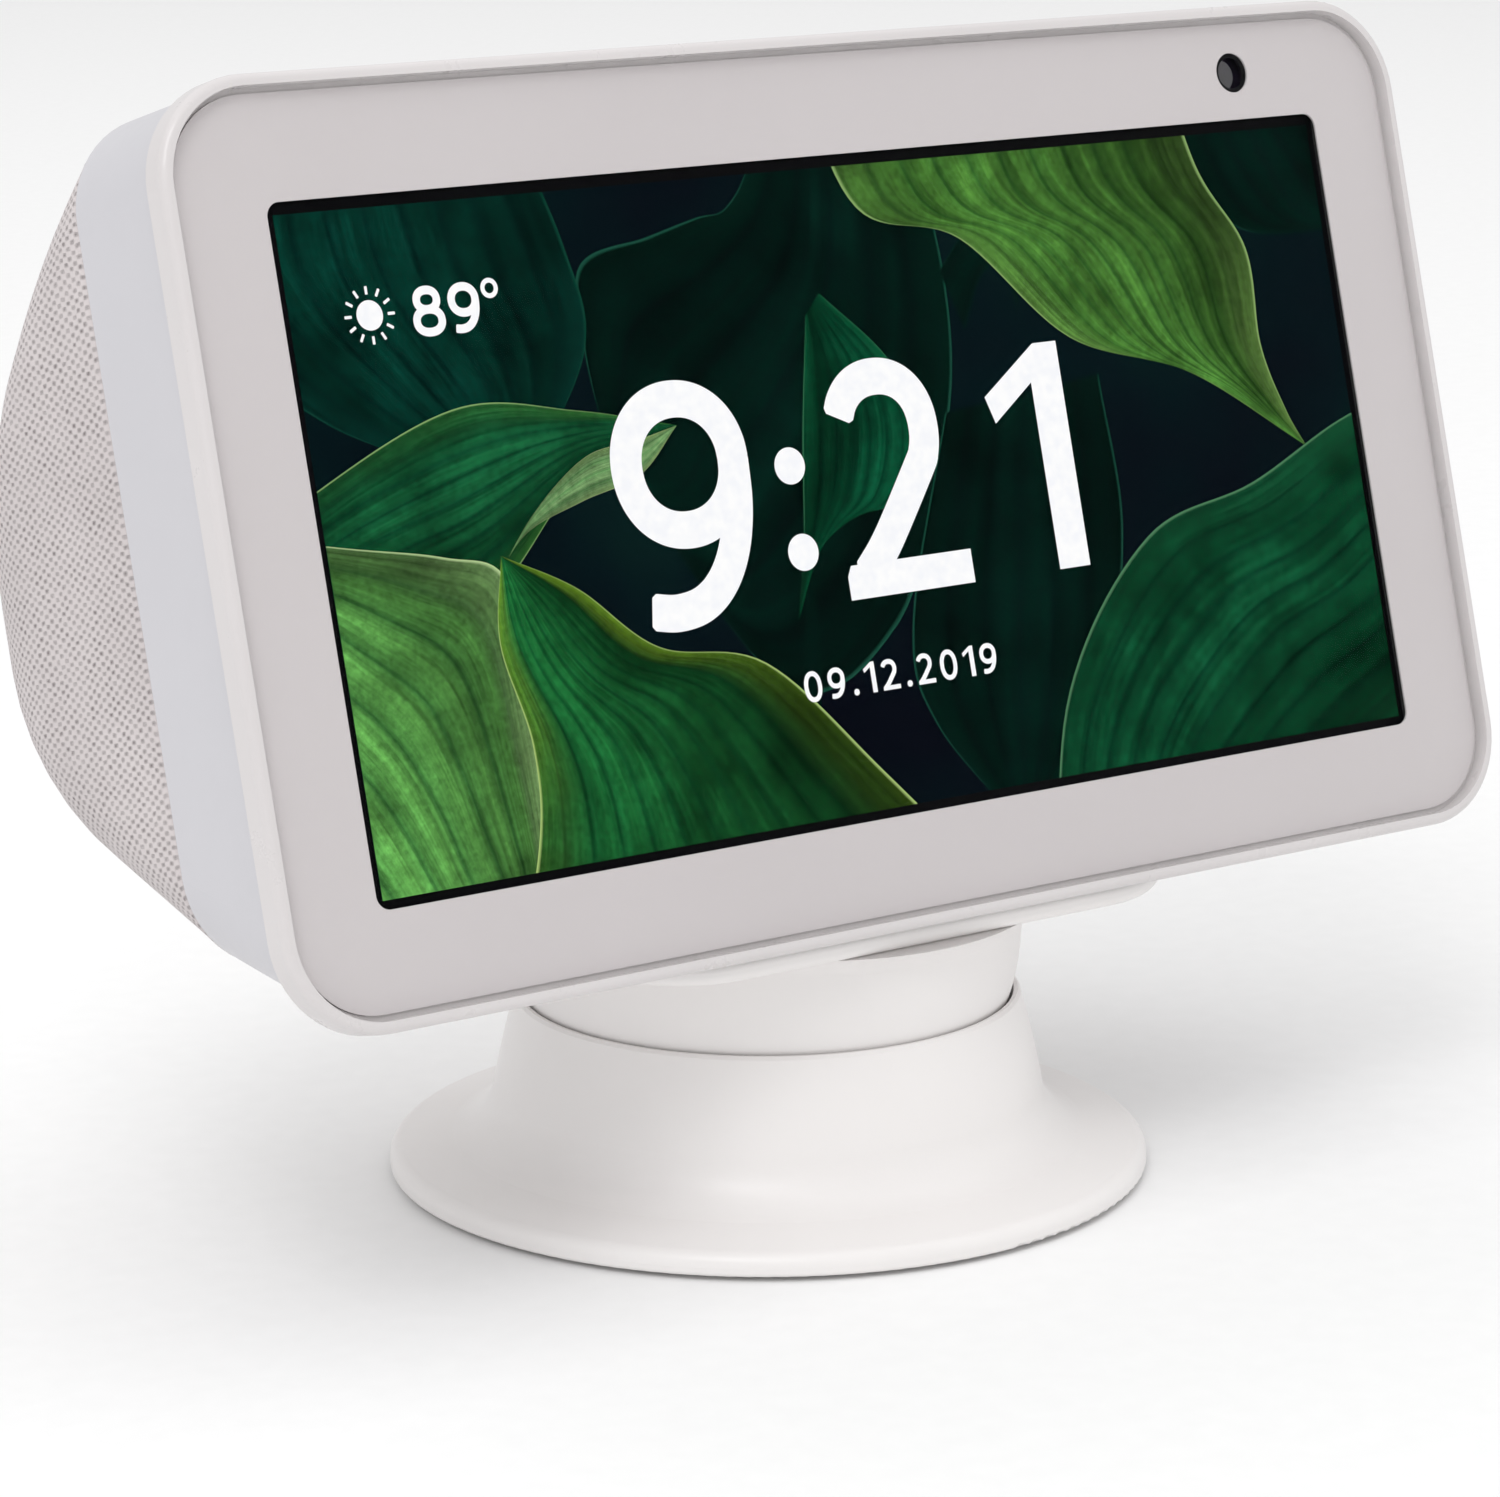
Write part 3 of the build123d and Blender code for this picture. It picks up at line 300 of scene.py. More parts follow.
WARM_WHITE = (0.86, 0.835, 0.825)
mat_stand = moulded("stand_satin_plastic", WARM_WHITE, 0.36, 3400.0, 0.00002, 0.015)
mat_frame = moulded("frame_plastic", (0.66, 0.63, 0.63), 0.3, 3000.0, 0.00001, 0.02, Coat_Weight=0.25)
mat_band = moulded("band_plastic", (0.585, 0.578, 0.608), 0.38, 3200.0, 0.000014, 0.02)
mat_button = moulded("button_plastic", (0.62, 0.62, 0.635), 0.42, 3600.0, 0.00002, 0.03)
mat_shell = moulded("shell_plastic", (0.5, 0.49, 0.49), 0.55, 2400.0, 0.00003)
mat_black = moulded("black_plastic", (0.018, 0.018, 0.02), 0.42, 2600.0, 0.00003, 0.2)
mat_nylon = moulded("nylon", (0.78, 0.76, 0.68), 0.4)
mat_film = moulded("diffuser_film", (0.85, 0.85, 0.86), 0.3)
mat_chip = moulded("chip_compound", (0.015, 0.015, 0.016), 0.5, 5000.0, 0.00002, 0.3)
mat_cone = moulded("paper_cone", (0.03, 0.03, 0.032), 0.8, 1800.0, 0.00005, 0.3)
mat_flex = moulded("polyimide_flex", (0.5, 0.2, 0.03), 0.25, 1500.0, 0.00001, 0.15, Coat_Weight=0.5)
mat_steel = metal("plated_steel", (0.62, 0.62, 0.63))
mat_zinc = metal("zinc_screws", (0.55, 0.56, 0.58), 0.4, (300.0, 300.0, 300.0))
mat_nickel = metal("nickel", (0.72, 0.71, 0.7), 0.2, (200.0, 200.0, 200.0))
mat_aluminium = metal("rolled_aluminium", (0.78, 0.78, 0.79), 0.38)
mat_silicone = rubbery("grey_silicone", (0.42, 0.42, 0.42))
mat_foam = rubbery("black_foam", (0.012, 0.012, 0.012), 0.9)
mat_lead = rubbery("lead_insulation", (0.02, 0.02, 0.02), 0.5)
mat_board = circuit_board("solder_mask")
# the second colour is the pits' darker tone, partly their own colour and partly painted shade
mat_fabric = woven("speaker_cloth", (0.56, 0.515, 0.515), (0.23, 0.19, 0.19), 0.00088, 0.00096)


def ink_under_glass():
    """Warm grey-white ink printed on the back of the glass: even, with a trace of printed mottle."""
    made = Shader("bezel_ink", (0.595, 0.56, 0.565), 0.6, Specular_IOR_Level=0.1)
    mottle = made.noise(24.0, 2.0)
    print_grain = made.noise(5200.0, 2.0)
    tone = made.mix(made.spread(mottle, 0, 1), (0.585, 0.55, 0.555), (0.605, 0.57, 0.575))
    made.join(made.mix(made.spread(print_grain, 0, 0.06), tone, (0.5, 0.49, 0.49)), "Base Color")
    made.join(made.spread(made.noise(400.0, 3.0), 0.55, 0.7), "Roughness")
    return made.material


def clear_glass():
    """Thin cover glass: what is behind it shows straight through, and its faces mirror a little."""
    material = bpy.data.materials.new("cover_glass_clear")
    material.use_nodes = True
    tree = material.node_tree
    tree.nodes.clear()
    out = tree.nodes.new("ShaderNodeOutputMaterial")
    mix = tree.nodes.new("ShaderNodeMixShader")
    fresnel = tree.nodes.new("ShaderNodeFresnel")
    fresnel.inputs["IOR"].default_value = 1.1
    outside = tree.nodes.new("ShaderNodeNewGeometry")
    facing_out = tree.nodes.new("ShaderNodeMath")
    facing_out.operation = "SUBTRACT"
    facing_out.inputs[0].default_value = 1.0
    gloss_share = tree.nodes.new("ShaderNodeMath")
    gloss_share.operation = "MULTIPLY"
    clear = tree.nodes.new("ShaderNodeBsdfTransparent")
    clear.inputs["Color"].default_value = (0.995, 0.995, 0.995, 1)
    shine = tree.nodes.new("ShaderNodeBsdfGlossy")
    smears = tree.nodes.new("ShaderNodeTexNoise")
    smears.inputs["Scale"].default_value = 60.0
    smears.inputs["Detail"].default_value = 4.0
    place = tree.nodes.new("ShaderNodeTexCoord")
    spread = tree.nodes.new("ShaderNodeMapRange")
    spread.inputs["To Min"].default_value = 0.03
    spread.inputs["To Max"].default_value = 0.09
    tree.links.new(place.outputs["Object"], smears.inputs["Vector"])
    tree.links.new(smears.outputs["Fac"], spread.inputs["Value"])
    tree.links.new(spread.outputs["Result"], shine.inputs["Roughness"])
    tree.links.new(outside.outputs["Backfacing"], facing_out.inputs[1])
    tree.links.new(fresnel.outputs["Fac"], gloss_share.inputs[0])
    tree.links.new(facing_out.outputs["Value"], gloss_share.inputs[1])
    tree.links.new(gloss_share.outputs["Value"], mix.inputs["Fac"])
    tree.links.new(clear.outputs["BSDF"], mix.inputs[1])
    tree.links.new(shine.outputs["BSDF"], mix.inputs[2])
    tree.links.new(mix.outputs["Shader"], out.inputs["Surface"])
    return material


def coated_lens():
    """Near-black camera glass with a faint violet coating."""
    made = Shader("camera_lens_glass", (0.004, 0.004, 0.006), 0.06, Coat_Weight=1.0, Coat_Roughness=0.02)
    rings = made.noise(900.0, 2.0)
    made.join(made.mix(made.spread(rings, 0, 1), (0.003, 0.003, 0.005), (0.01, 0.006, 0.016)), "Base Color")
    return made.material


def dark_screen():
    """Unlit black of the panel's edge, with a fine pixel grain."""
    made = Shader("panel_black", (0.002, 0.002, 0.003), 0.3, Specular_IOR_Level=0.02)
    grain = made.noise(7000.0, 1.0)
    made.join(made.mix(made.spread(grain, 0, 1), (0.001, 0.001, 0.0015), (0.003, 0.003, 0.004)), "Base Color")
    return made.material


MATERIALS = {
    mat_stand: ("base_shell", "head_shell", "tray_plate"),
    mat_silicone: ("foot_pad", "tray_pad", "rubber_foot"),
    mat_steel: (
        "base_plate", "ballast_ring", "pivot_bracket", "head_bracket", "backlight_pan", "shield_can",
        "attach_plate", "chassis_plate", "usb_socket",
    ),
    mat_zinc: (
        "pivot_pin", "pin_nut", "base_screws", "tray_screws", "chassis_screws", "board_screws",
        "cover_screws",
    ),
    mat_nylon: ("friction_washers",),
    mat_nickel: ("tray_magnets", "speaker_magnet"),
    mat_frame: ("front_frame",),
    mat_band: ("housing_band",),
    mat_button: ("mute_button", "volume_down_button", "volume_up_button", "shutter_knob", "shutter_blade"),
    ink_under_glass(): ("ink_mask",),
    mat_foam: ("glass_adhesive", "screen_gasket"),
    dark_screen(): ("lcd_panel",),
    mat_film: ("backlight",),
    mat_shell: ("rear_shell", "bottom_cover"),
    mat_board: ("main_board", "button_board", "port_board"),
    mat_chip: ("board_chips", "button_switches", "microphones", "camera_module"),
    mat_aluminium: ("heat_spreader",),
    mat_black: ("speaker_box", "speaker_frame", "port_plate", "power_jack", "audio_jack"),
    mat_cone: ("speaker_cone",),
    coated_lens(): ("camera_lens",),
    mat_flex: ("screen_flex", "camera_flex"),
    mat_lead: ("speaker_leads", "port_lead"),
}
for material, names in MATERIALS.items():
    for name in names:
        slots = frame["nodes"][name].material_slots
        if not slots:
            frame["nodes"][name].data.materials.append(material)
        for piece_slot in slots:
            piece_slot.material = material

# ---- speaker cloth over the back ---------------------------------------------------------------------
# outline of the body behind the glass, in millimetres: depths (D) from the glass's front, heights (Y) and
# radii (R) on the face's axes, the same as the CAD's
BODY_TOP = 43.1
BODY_HALF_W = 73.5
BODY_CORNER = 9.4
CLOTH_FRONT = 17.5
BACK_R, BACK_D, BACK_Y = 76.9, -8.4, -29.4
HEEL_R, HEEL_D, HEEL_Y = 12.0, 53.628, -10.306
SIDE_R, SIDE_D = 28.0, 38.0
FACE_LEAN = math.radians(20)
BASE_FRONT_Y = -43.5 + 0.85 / math.cos(FACE_LEAN)
CLOTH_T = 0.7
STEEPEST = 3.0
# (distance behind the band, distance in from the outline) of the rows at the cloth's tucked front edge
TUCK = ((0.0, 0.75), (0.06, 0.4), (0.2, 0.16), (0.45, 0.04))


def cloth_profile():
    """Depth, top and base heights of each row of the cloth and its run along the top, front to back."""
    rows = []
    start = math.asin((CLOTH_FRONT - BACK_D) / BACK_R)
    stop = math.atan2(HEEL_D - BACK_D, HEEL_Y - BACK_Y)
    steps = 52
    for k in range(steps + 1):
        turn = start + (stop - start) * k / steps
        depth, high = BACK_D + BACK_R * math.sin(turn), BACK_Y + BACK_R * math.cos(turn)
        rows.append((depth, high, BACK_R * (turn - start)))
    run = rows[-1][2]
    heel_steps = 4
    for k in range(1, heel_steps + 1):
        turn = stop + (math.pi / 2 - stop) * k / heel_steps
        depth, high = HEEL_D + HEEL_R * math.sin(turn), HEEL_Y + HEEL_R * math.cos(turn)
        rows.append((depth, high, run + HEEL_R * (turn - stop)))
    made = []
    for depth, high, along in rows:
        if depth <= HEEL_D + HEEL_R * math.sin(FACE_LEAN):
            low = BASE_FRONT_Y + depth * math.tan(FACE_LEAN)
        else:
            low = HEEL_Y - math.sqrt(max(HEEL_R**2 - (depth - HEEL_D) ** 2, 0))
        made.append((depth, min(high, BODY_TOP), low, along))
    return made


def cloth_ring(depth, high, low, inset):
    """Points round the body at a depth, from mid-base on: (x, y, run in x, run in y, on a side)."""
    half = BODY_HALF_W
    if depth > SIDE_D:
        half += math.sqrt(max(SIDE_R**2 - (depth - SIDE_D) ** 2, 0)) - SIDE_R
    half, high, low = half - inset, high - inset, low + inset
    high = max(high, low)
    radius = min(BODY_CORNER + 0.3 * (depth - CLOTH_FRONT), 0.46 * (high - low))
    span, rise = half - radius, (high - low) / 2 - radius
    middle = (high + low) / 2
    quarter, across, upward, bend = [], 48, 30, 12
    for k in range(across):
        x = span * k / across
        quarter.append((x, -rise - radius, x, None, False))
    for k in range(bend):
        turn = math.pi / 2 * k / bend
        run = radius * turn
        x, y = span + radius * math.sin(turn), -rise - radius * math.cos(turn)
        quarter.append((x, y, span + run, -rise - radius * math.pi / 2 + run, 2 * k >= bend))
    for k in range(upward):
        y = -rise + rise * k / upward
        quarter.append((half, y, None, y, True))
    ring = list(quarter)
    ring.append((half, 0.0, None, 0.0, True))
    for x, y, run_x, run_y, side in reversed(quarter[1:]):
        ring.append((x, -y, run_x, None if run_y is None else -run_y, side))
    left = [(-x, y, None if a is None else -a, b, side) for x, y, a, b, side in reversed(ring[1:])]
    top = (0.0, rise + radius, 0.0, None, False)
    ring = ring + [top] + left
    return [(x, y + middle, a, None if b is None else b + middle, side) for x, y, a, b, side in ring]


def fabric_mesh():
    """Outer skin of the cloth, its front edge tucked in against the band, with its cloth coordinates."""
    rows = []
    for k, (depth, high, low, along) in enumerate(cloth_profile()):
        if k == 0:
            for offset, inset in TUCK:
                rows.append((depth + offset, high, low, along + offset, inset))
        else:
            rows.append((depth, high, low, along, 0.0))
    points, runs, faces = [], [], []
    side_run, previous = 0.0, rows[0][0]
    for k, (depth, high, low, along, inset) in enumerate(rows):
        step = depth - previous
        past = depth - SIDE_D
        slope = 0.0 if past <= 0 else past / math.sqrt(SIDE_R**2 - past**2)
        side_run += step * math.sqrt(1 + min(slope, STEEPEST) ** 2)
        previous = depth
        for j, (x, y, run_x, run_y, side) in enumerate(cloth_ring(depth, high, low, 0.0)):
            tuck = inset * (1 + 0.35 * math.sin(j * 2.4) * math.sin(j * 0.77 + k))
            x_in = x - tuck * (x / BODY_HALF_W if not side else math.copysign(1.0, x))
            y_in = y - tuck * (1.0 if y > 0 else -1.0) * (0.0 if side and run_x is None else 1.0)
            points.append(on_face(x_in, y_in, depth))
            runs.append((along, side_run, run_x, run_y, side))
    count = len(points) // len(rows)
    for i in range(len(rows) - 1):
        for j in range(count):
            nxt = (j + 1) % count
            faces.append((i * count + j, i * count + nxt, (i + 1) * count + nxt, (i + 1) * count + j))
    mesh = mesh_from("fabric_wrap", points, faces)
    uv = mesh.uv_layers.new(name="cloth")
    for polygon in mesh.polygons:
        around = {k: runs[mesh.loops[k].vertex_index] for k in polygon.loop_indices}
        on_side = all(run[4] for run in around.values()) or any(run[2] is None for run in around.values())
        for k, (along, side_run, run_x, run_y, _) in around.items():
            uv.data[k].uv = (side_run * MM, run_y * MM) if on_side else (along * MM, (run_x or 0.0) * MM)
    work = bmesh.new()
    work.from_mesh(mesh)
    bmesh.ops.remove_doubles(work, verts=work.verts, dist=2e-6)
    bmesh.ops.recalc_face_normals(work, faces=work.faces)
    work.to_mesh(mesh)
    work.free()
    return mesh


def prism(name, centre, right, up, out, width, height, radius, reach):
    """Closed rounded-rectangle prism along out, for cutting."""
    corner = []
    for k in range(4):
        for j in range(7):
            turn = math.pi / 2 * (k + j / 6)
            sx = 1 if k in (0, 3) else -1
            sy = 1 if k in (0, 1) else -1
            x = sx * (width / 2 - radius) + radius * math.cos(turn)
            y = sy * (height / 2 - radius) + radius * math.sin(turn)
            corner.append((x, y))
    n = len(corner)
    points = [centre + (right * x + up * y + out * z) * MM for z in (-reach, reach) for x, y in corner]
    faces = [(j, (j + 1) % n, n + (j + 1) % n, n + j) for j in range(n)]
    faces += [tuple(reversed(range(n))), tuple(range(n, 2 * n))]
    cutter = bpy.data.objects.new(name, mesh_from(name, points, faces))
    bpy.context.scene.collection.objects.link(cutter)
    return cutter


def cut(obj, cutters):
    """Apply a skin thickness and the openings, and drop the cutters."""
    skin = obj.modifiers.new("skin", "SOLIDIFY")
    skin.thickness = CLOTH_T * MM
    skin.offset = -1.0
    for cutter in cutters:
        opening = obj.modifiers.new(cutter.name, "BOOLEAN")
        opening.operation = "DIFFERENCE"
        opening.solver = "EXACT"
        opening.object = cutter
    seen = obj.evaluated_get(bpy.context.evaluated_depsgraph_get())
    final = bpy.data.meshes.new_from_object(seen)
    obj.modifiers.clear()
    obj.data = final
    for cutter in cutters:
        bpy.data.objects.remove(cutter)


fabric = new_object("fabric_wrap", fabric_mesh(), mat_fabric, "display")
port_cutter = prism("port_cutter", deck_point(0, 44, 23.5), -RIGHT, DECK_UP, DECK_BACK, 46.0, 10.0, 2.4, 7.0)
base_cutter = prism("base_cutter", deck_point(0, 8, 9.5), RIGHT, DECK_BACK, DECK_UP, 100.0, 33.0, 6.0, 2.6)
cut(fabric, (port_cutter, base_cutter))
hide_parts("fabric_cover")

# ---- glass -------------------------------------------------------------------------------------------
GLASS_EDGE = 0.18
GLASS_BACK = 1.04
GLASS_CORNER = 9.0


def glass_pane():
    """Rounded pane with ground front edges; its back stops just short of the ink."""
    low, high = node_box("cover_glass")
    width = (high.x - low.x) / MM
    reach = span_along("cover_glass", FACE_UP)
    height = (reach[1] - reach[0]) / MM
    middle = FACE_UP * (reach[0] + reach[1]) / 2 + FACE_OUT * glass_front
    rings = ((GLASS_EDGE, 0.0), (0.0, GLASS_EDGE), (0.0, GLASS_BACK))
    corner, steps = GLASS_CORNER, 16
    points = []
    for inset, depth in rings:
        for k in range(4):
            sx, sy = (1, -1, -1, 1)[k], (1, 1, -1, -1)[k]
            for j in range(steps + 1):
                turn = math.pi / 2 * (k + j / steps)
                x = sx * (width / 2 - corner) + (corner - inset) * math.cos(turn)
                y = sy * (height / 2 - corner) + (corner - inset) * math.sin(turn)
                points.append(middle + Vector((x * MM, 0, 0)) + FACE_UP * y * MM - FACE_OUT * depth * MM)
    n = 4 * (steps + 1)
    faces = [tuple(range(n)), tuple(reversed(range(2 * n, 3 * n)))]
    for k in range(2):
        for j in range(n):
            nxt = (j + 1) % n
            faces.append((k * n + j, (k + 1) * n + j, (k + 1) * n + nxt, k * n + nxt))
    return mesh_from("glass_pane", points, faces)


glass = new_object("glass_pane", glass_pane(), clear_glass(), "display", smooth=False)
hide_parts("cover_glass")

# ---- picture on the screen ---------------------------------------------------------------------------
PICTURE_W = 124.95
PICTURE_H = 62.5
PICTURE_X = 0.45
PICTURE_Y = -0.1
PANEL_DEPTH = 2.2
LAYER = 0.03


def lit(name):
    """A lit-picture material: black surface, all its colour given off."""
    made = Shader(name, (0.0, 0.0, 0.0), 0.5)
    made.set("Specular IOR Level", 0.0)
    made.set("Emission Strength", 1.0)
    return made


def clip_to_picture(mesh):
    """Cut away what lies outside the lit rectangle."""
    work = bmesh.new()
    work.from_mesh(mesh)
    middle = on_face(PICTURE_X, PICTURE_Y)
    sides = ((RIGHT, PICTURE_W), (-RIGHT, PICTURE_W), (FACE_UP, PICTURE_H), (-FACE_UP, PICTURE_H))
    for normal, extent in sides:
        geometry = work.verts[:] + work.edges[:] + work.faces[:]
        edge = middle + normal * (extent / 2) * MM
        bmesh.ops.bisect_plane(work, geom=geometry, plane_co=edge, plane_no=normal, clear_outer=True)
    work.to_mesh(mesh)
    work.free()
    mesh.update()


def patch(name, left, right, layer, material, along=56, across=20):
    """A leaf-like patch between two edges that run from its foot to its tip; U runs across and V along."""
    edge_a = spline(left, along)
    edge_b = spline(right, along)
    depth = PANEL_DEPTH - LAYER * layer
    points, faces, places = [], [], []
    for i in range(along):
        for j in range(across):
            t = j / (across - 1)
            spot = edge_a[i].lerp(edge_b[i], t)
            points.append(on_face(spot.x, spot.y, depth))
            places.append((t, i / (along - 1)))
    for i in range(along - 1):
        for j in range(across - 1):
            k = i * across + j
            faces.append((k, k + 1, k + across + 1, k + across))
    mesh = mesh_from(name, points, faces)
    uv = mesh.uv_layers.new(name="leaf")
    for loop in mesh.loops:
        uv.data[loop.index].uv = places[loop.vertex_index]
    clip_to_picture(mesh)
    return new_object(name, mesh, material, "display")


def leaf_material(name, dark, bright, rim, flush, pleats, light_from=0.5, foot=1.0, tip=1.0):
    """Pleated leaf: veins from foot to tip, shaded pleats, flushed edges and a thin light rim."""
    made = lit(name)
    uv = made.node("ShaderNodeUVMap", uv_map="leaf").outputs["UV"]
    parts = made.node("ShaderNodeSeparateXYZ", {"Vector": uv})
    across, along = parts.outputs["X"], parts.outputs["Y"]
    wander = made.math("MULTIPLY", made.math("SUBTRACT", made.noise(70.0, 2.0), 0.5), 0.03)
    bent = made.math("ADD", across, wander)
    pleat = made.math("FRACT", made.math("MULTIPLY", bent, pleats))
    greys = ((0.0, 0.3), (0.12, 0.6), (0.6, 1.0), (0.9, 0.7), (1.0, 0.3))
    shade = made.ramp(pleat, [(place, (grey, grey, grey)) for place, grey in greys])
    tone = made.mix(shade, dark, bright)
    off_light = made.math("ABSOLUTE", made.math("SUBTRACT", across, light_from))
    lightness = made.math("SUBTRACT", 1.0, made.math("MULTIPLY", off_light, 1.25), clamp=True)
    fall = made.node("ShaderNodeMapRange", {"Value": along}, To_Min=foot, To_Max=tip).outputs["Result"]
    drawn = made.node("ShaderNodeMapping", {"Vector": uv}, Scale=(46.0, 2.6, 1.0)).outputs["Vector"]
    streaks = made.spread(made.noise(1.0, 4.0, 0.65, drawn), 0.5, 1.35)
    cells = made.math("MULTIPLY", streaks, made.spread(made.noise(1500.0, 3.0, 0.7), 0.72, 1.25))
    blotch = made.spread(made.noise(130.0, 4.0, 0.6), 0.5, 1.4)
    glow = made.math("MULTIPLY", made.math("MULTIPLY", made.math("MULTIPLY", lightness, fall), cells), blotch)
    glow_grey = made.node("ShaderNodeCombineColor", {"Red": glow, "Green": glow, "Blue": glow})
    body = made.mix(1.0, tone, glow_grey.outputs["Color"], "MULTIPLY")
    edge = made.math("MINIMUM", across, made.math("SUBTRACT", 1.0, across))
    towards_edge = made.spread(edge, 0.8, 0.0, 0.0, 0.17)
    near_edge = made.math("MULTIPLY", towards_edge, made.spread(along, 0.15, 1.0, 0.3, 0.95))
    flushed = made.mix(made.math("MULTIPLY", near_edge, made.math("MULTIPLY", cells, 0.9)), body, flush)
    on_rim = made.spread(edge, 0.9, 0.0, 0.002, 0.011)
    made.join(made.mix(on_rim, flushed, rim), "Emission Color")
    return made.material


def background_material():
    """Blue-black depth of the foliage, with vague darker and greener shapes."""
    made = lit("wallpaper_depth")
    far = made.noise(26.0, 3.0, 0.6)
    blue_black, dim, green = (0.0012, 0.002, 0.005), (0.001, 0.006, 0.008), (0.002, 0.014, 0.012)
    made.join(made.ramp(far, ((0.35, blue_black), (0.55, dim), (0.75, green))), "Emission Color")
    return made.material


leaf_bright = leaf_material(
    "leaf_bright", (0.003, 0.06, 0.018), (0.13, 0.4, 0.085),
    (0.5, 0.68, 0.32), (0.38, 0.58, 0.24), pleats=8, light_from=0.35, foot=1.45, tip=0.9,
)
leaf_front = leaf_material(
    "leaf_front", (0.0015, 0.04, 0.014), (0.012, 0.14, 0.032),
    (0.45, 0.62, 0.2), (0.22, 0.42, 0.03), pleats=12, light_from=0.25, foot=0.9, tip=1.25,
)
leaf_mid = leaf_material(
    "leaf_mid", (0.001, 0.024, 0.014), (0.008, 0.11, 0.036),
    (0.3, 0.5, 0.18), (0.05, 0.22, 0.04), pleats=9, light_from=0.35, foot=1.1, tip=0.9,
)
leaf_fold = leaf_material(
    "leaf_fold", (0.06, 0.22, 0.06), (0.22, 0.4, 0.16),
    (0.5, 0.62, 0.3), (0.3, 0.45, 0.16), pleats=4,
)
leaf_dark = leaf_material(
    "leaf_dark", (0.0006, 0.01, 0.009), (0.0015, 0.04, 0.026),
    (0.004, 0.06, 0.035), (0.002, 0.04, 0.03), pleats=10, light_from=0.45, foot=1.1, tip=0.9,
)
leaf_top = leaf_material(
    "leaf_top", (0.003, 0.045, 0.01), (0.085, 0.25, 0.04),
    (0.3, 0.48, 0.16), (0.2, 0.38, 0.09), pleats=11, light_from=0.3, foot=0.95, tip=1.3,
)
leaf_low = leaf_material(
    "leaf_low", (0.001, 0.02, 0.011), (0.004, 0.085, 0.03),
    (0.1, 0.27, 0.13), (0.01, 0.12, 0.045), pleats=10, light_from=0.35, foot=1.1, tip=0.7,
)
leaf_far = leaf_material(
    "leaf_far", (0.0004, 0.003, 0.003), (0.0008, 0.014, 0.009),
    (0.012, 0.09, 0.055), (0.001, 0.02, 0.012), pleats=6,
)
leaf_centre = leaf_material(
    "leaf_centre", (0.0006, 0.014, 0.008), (0.003, 0.1, 0.04),
    (0.05, 0.22, 0.1), (0.004, 0.12, 0.045), pleats=7, light_from=0.7, foot=1.1, tip=0.7,
)

half_w, half_h = PICTURE_W / 2, PICTURE_H / 2
patch(
    "wallpaper_ground",
    ((PICTURE_X - half_w, PICTURE_Y - half_h), (PICTURE_X - half_w, PICTURE_Y + half_h)),
    ((PICTURE_X + half_w, PICTURE_Y - half_h), (PICTURE_X + half_w, PICTURE_Y + half_h)),
    1, background_material(), 2, 2,
)
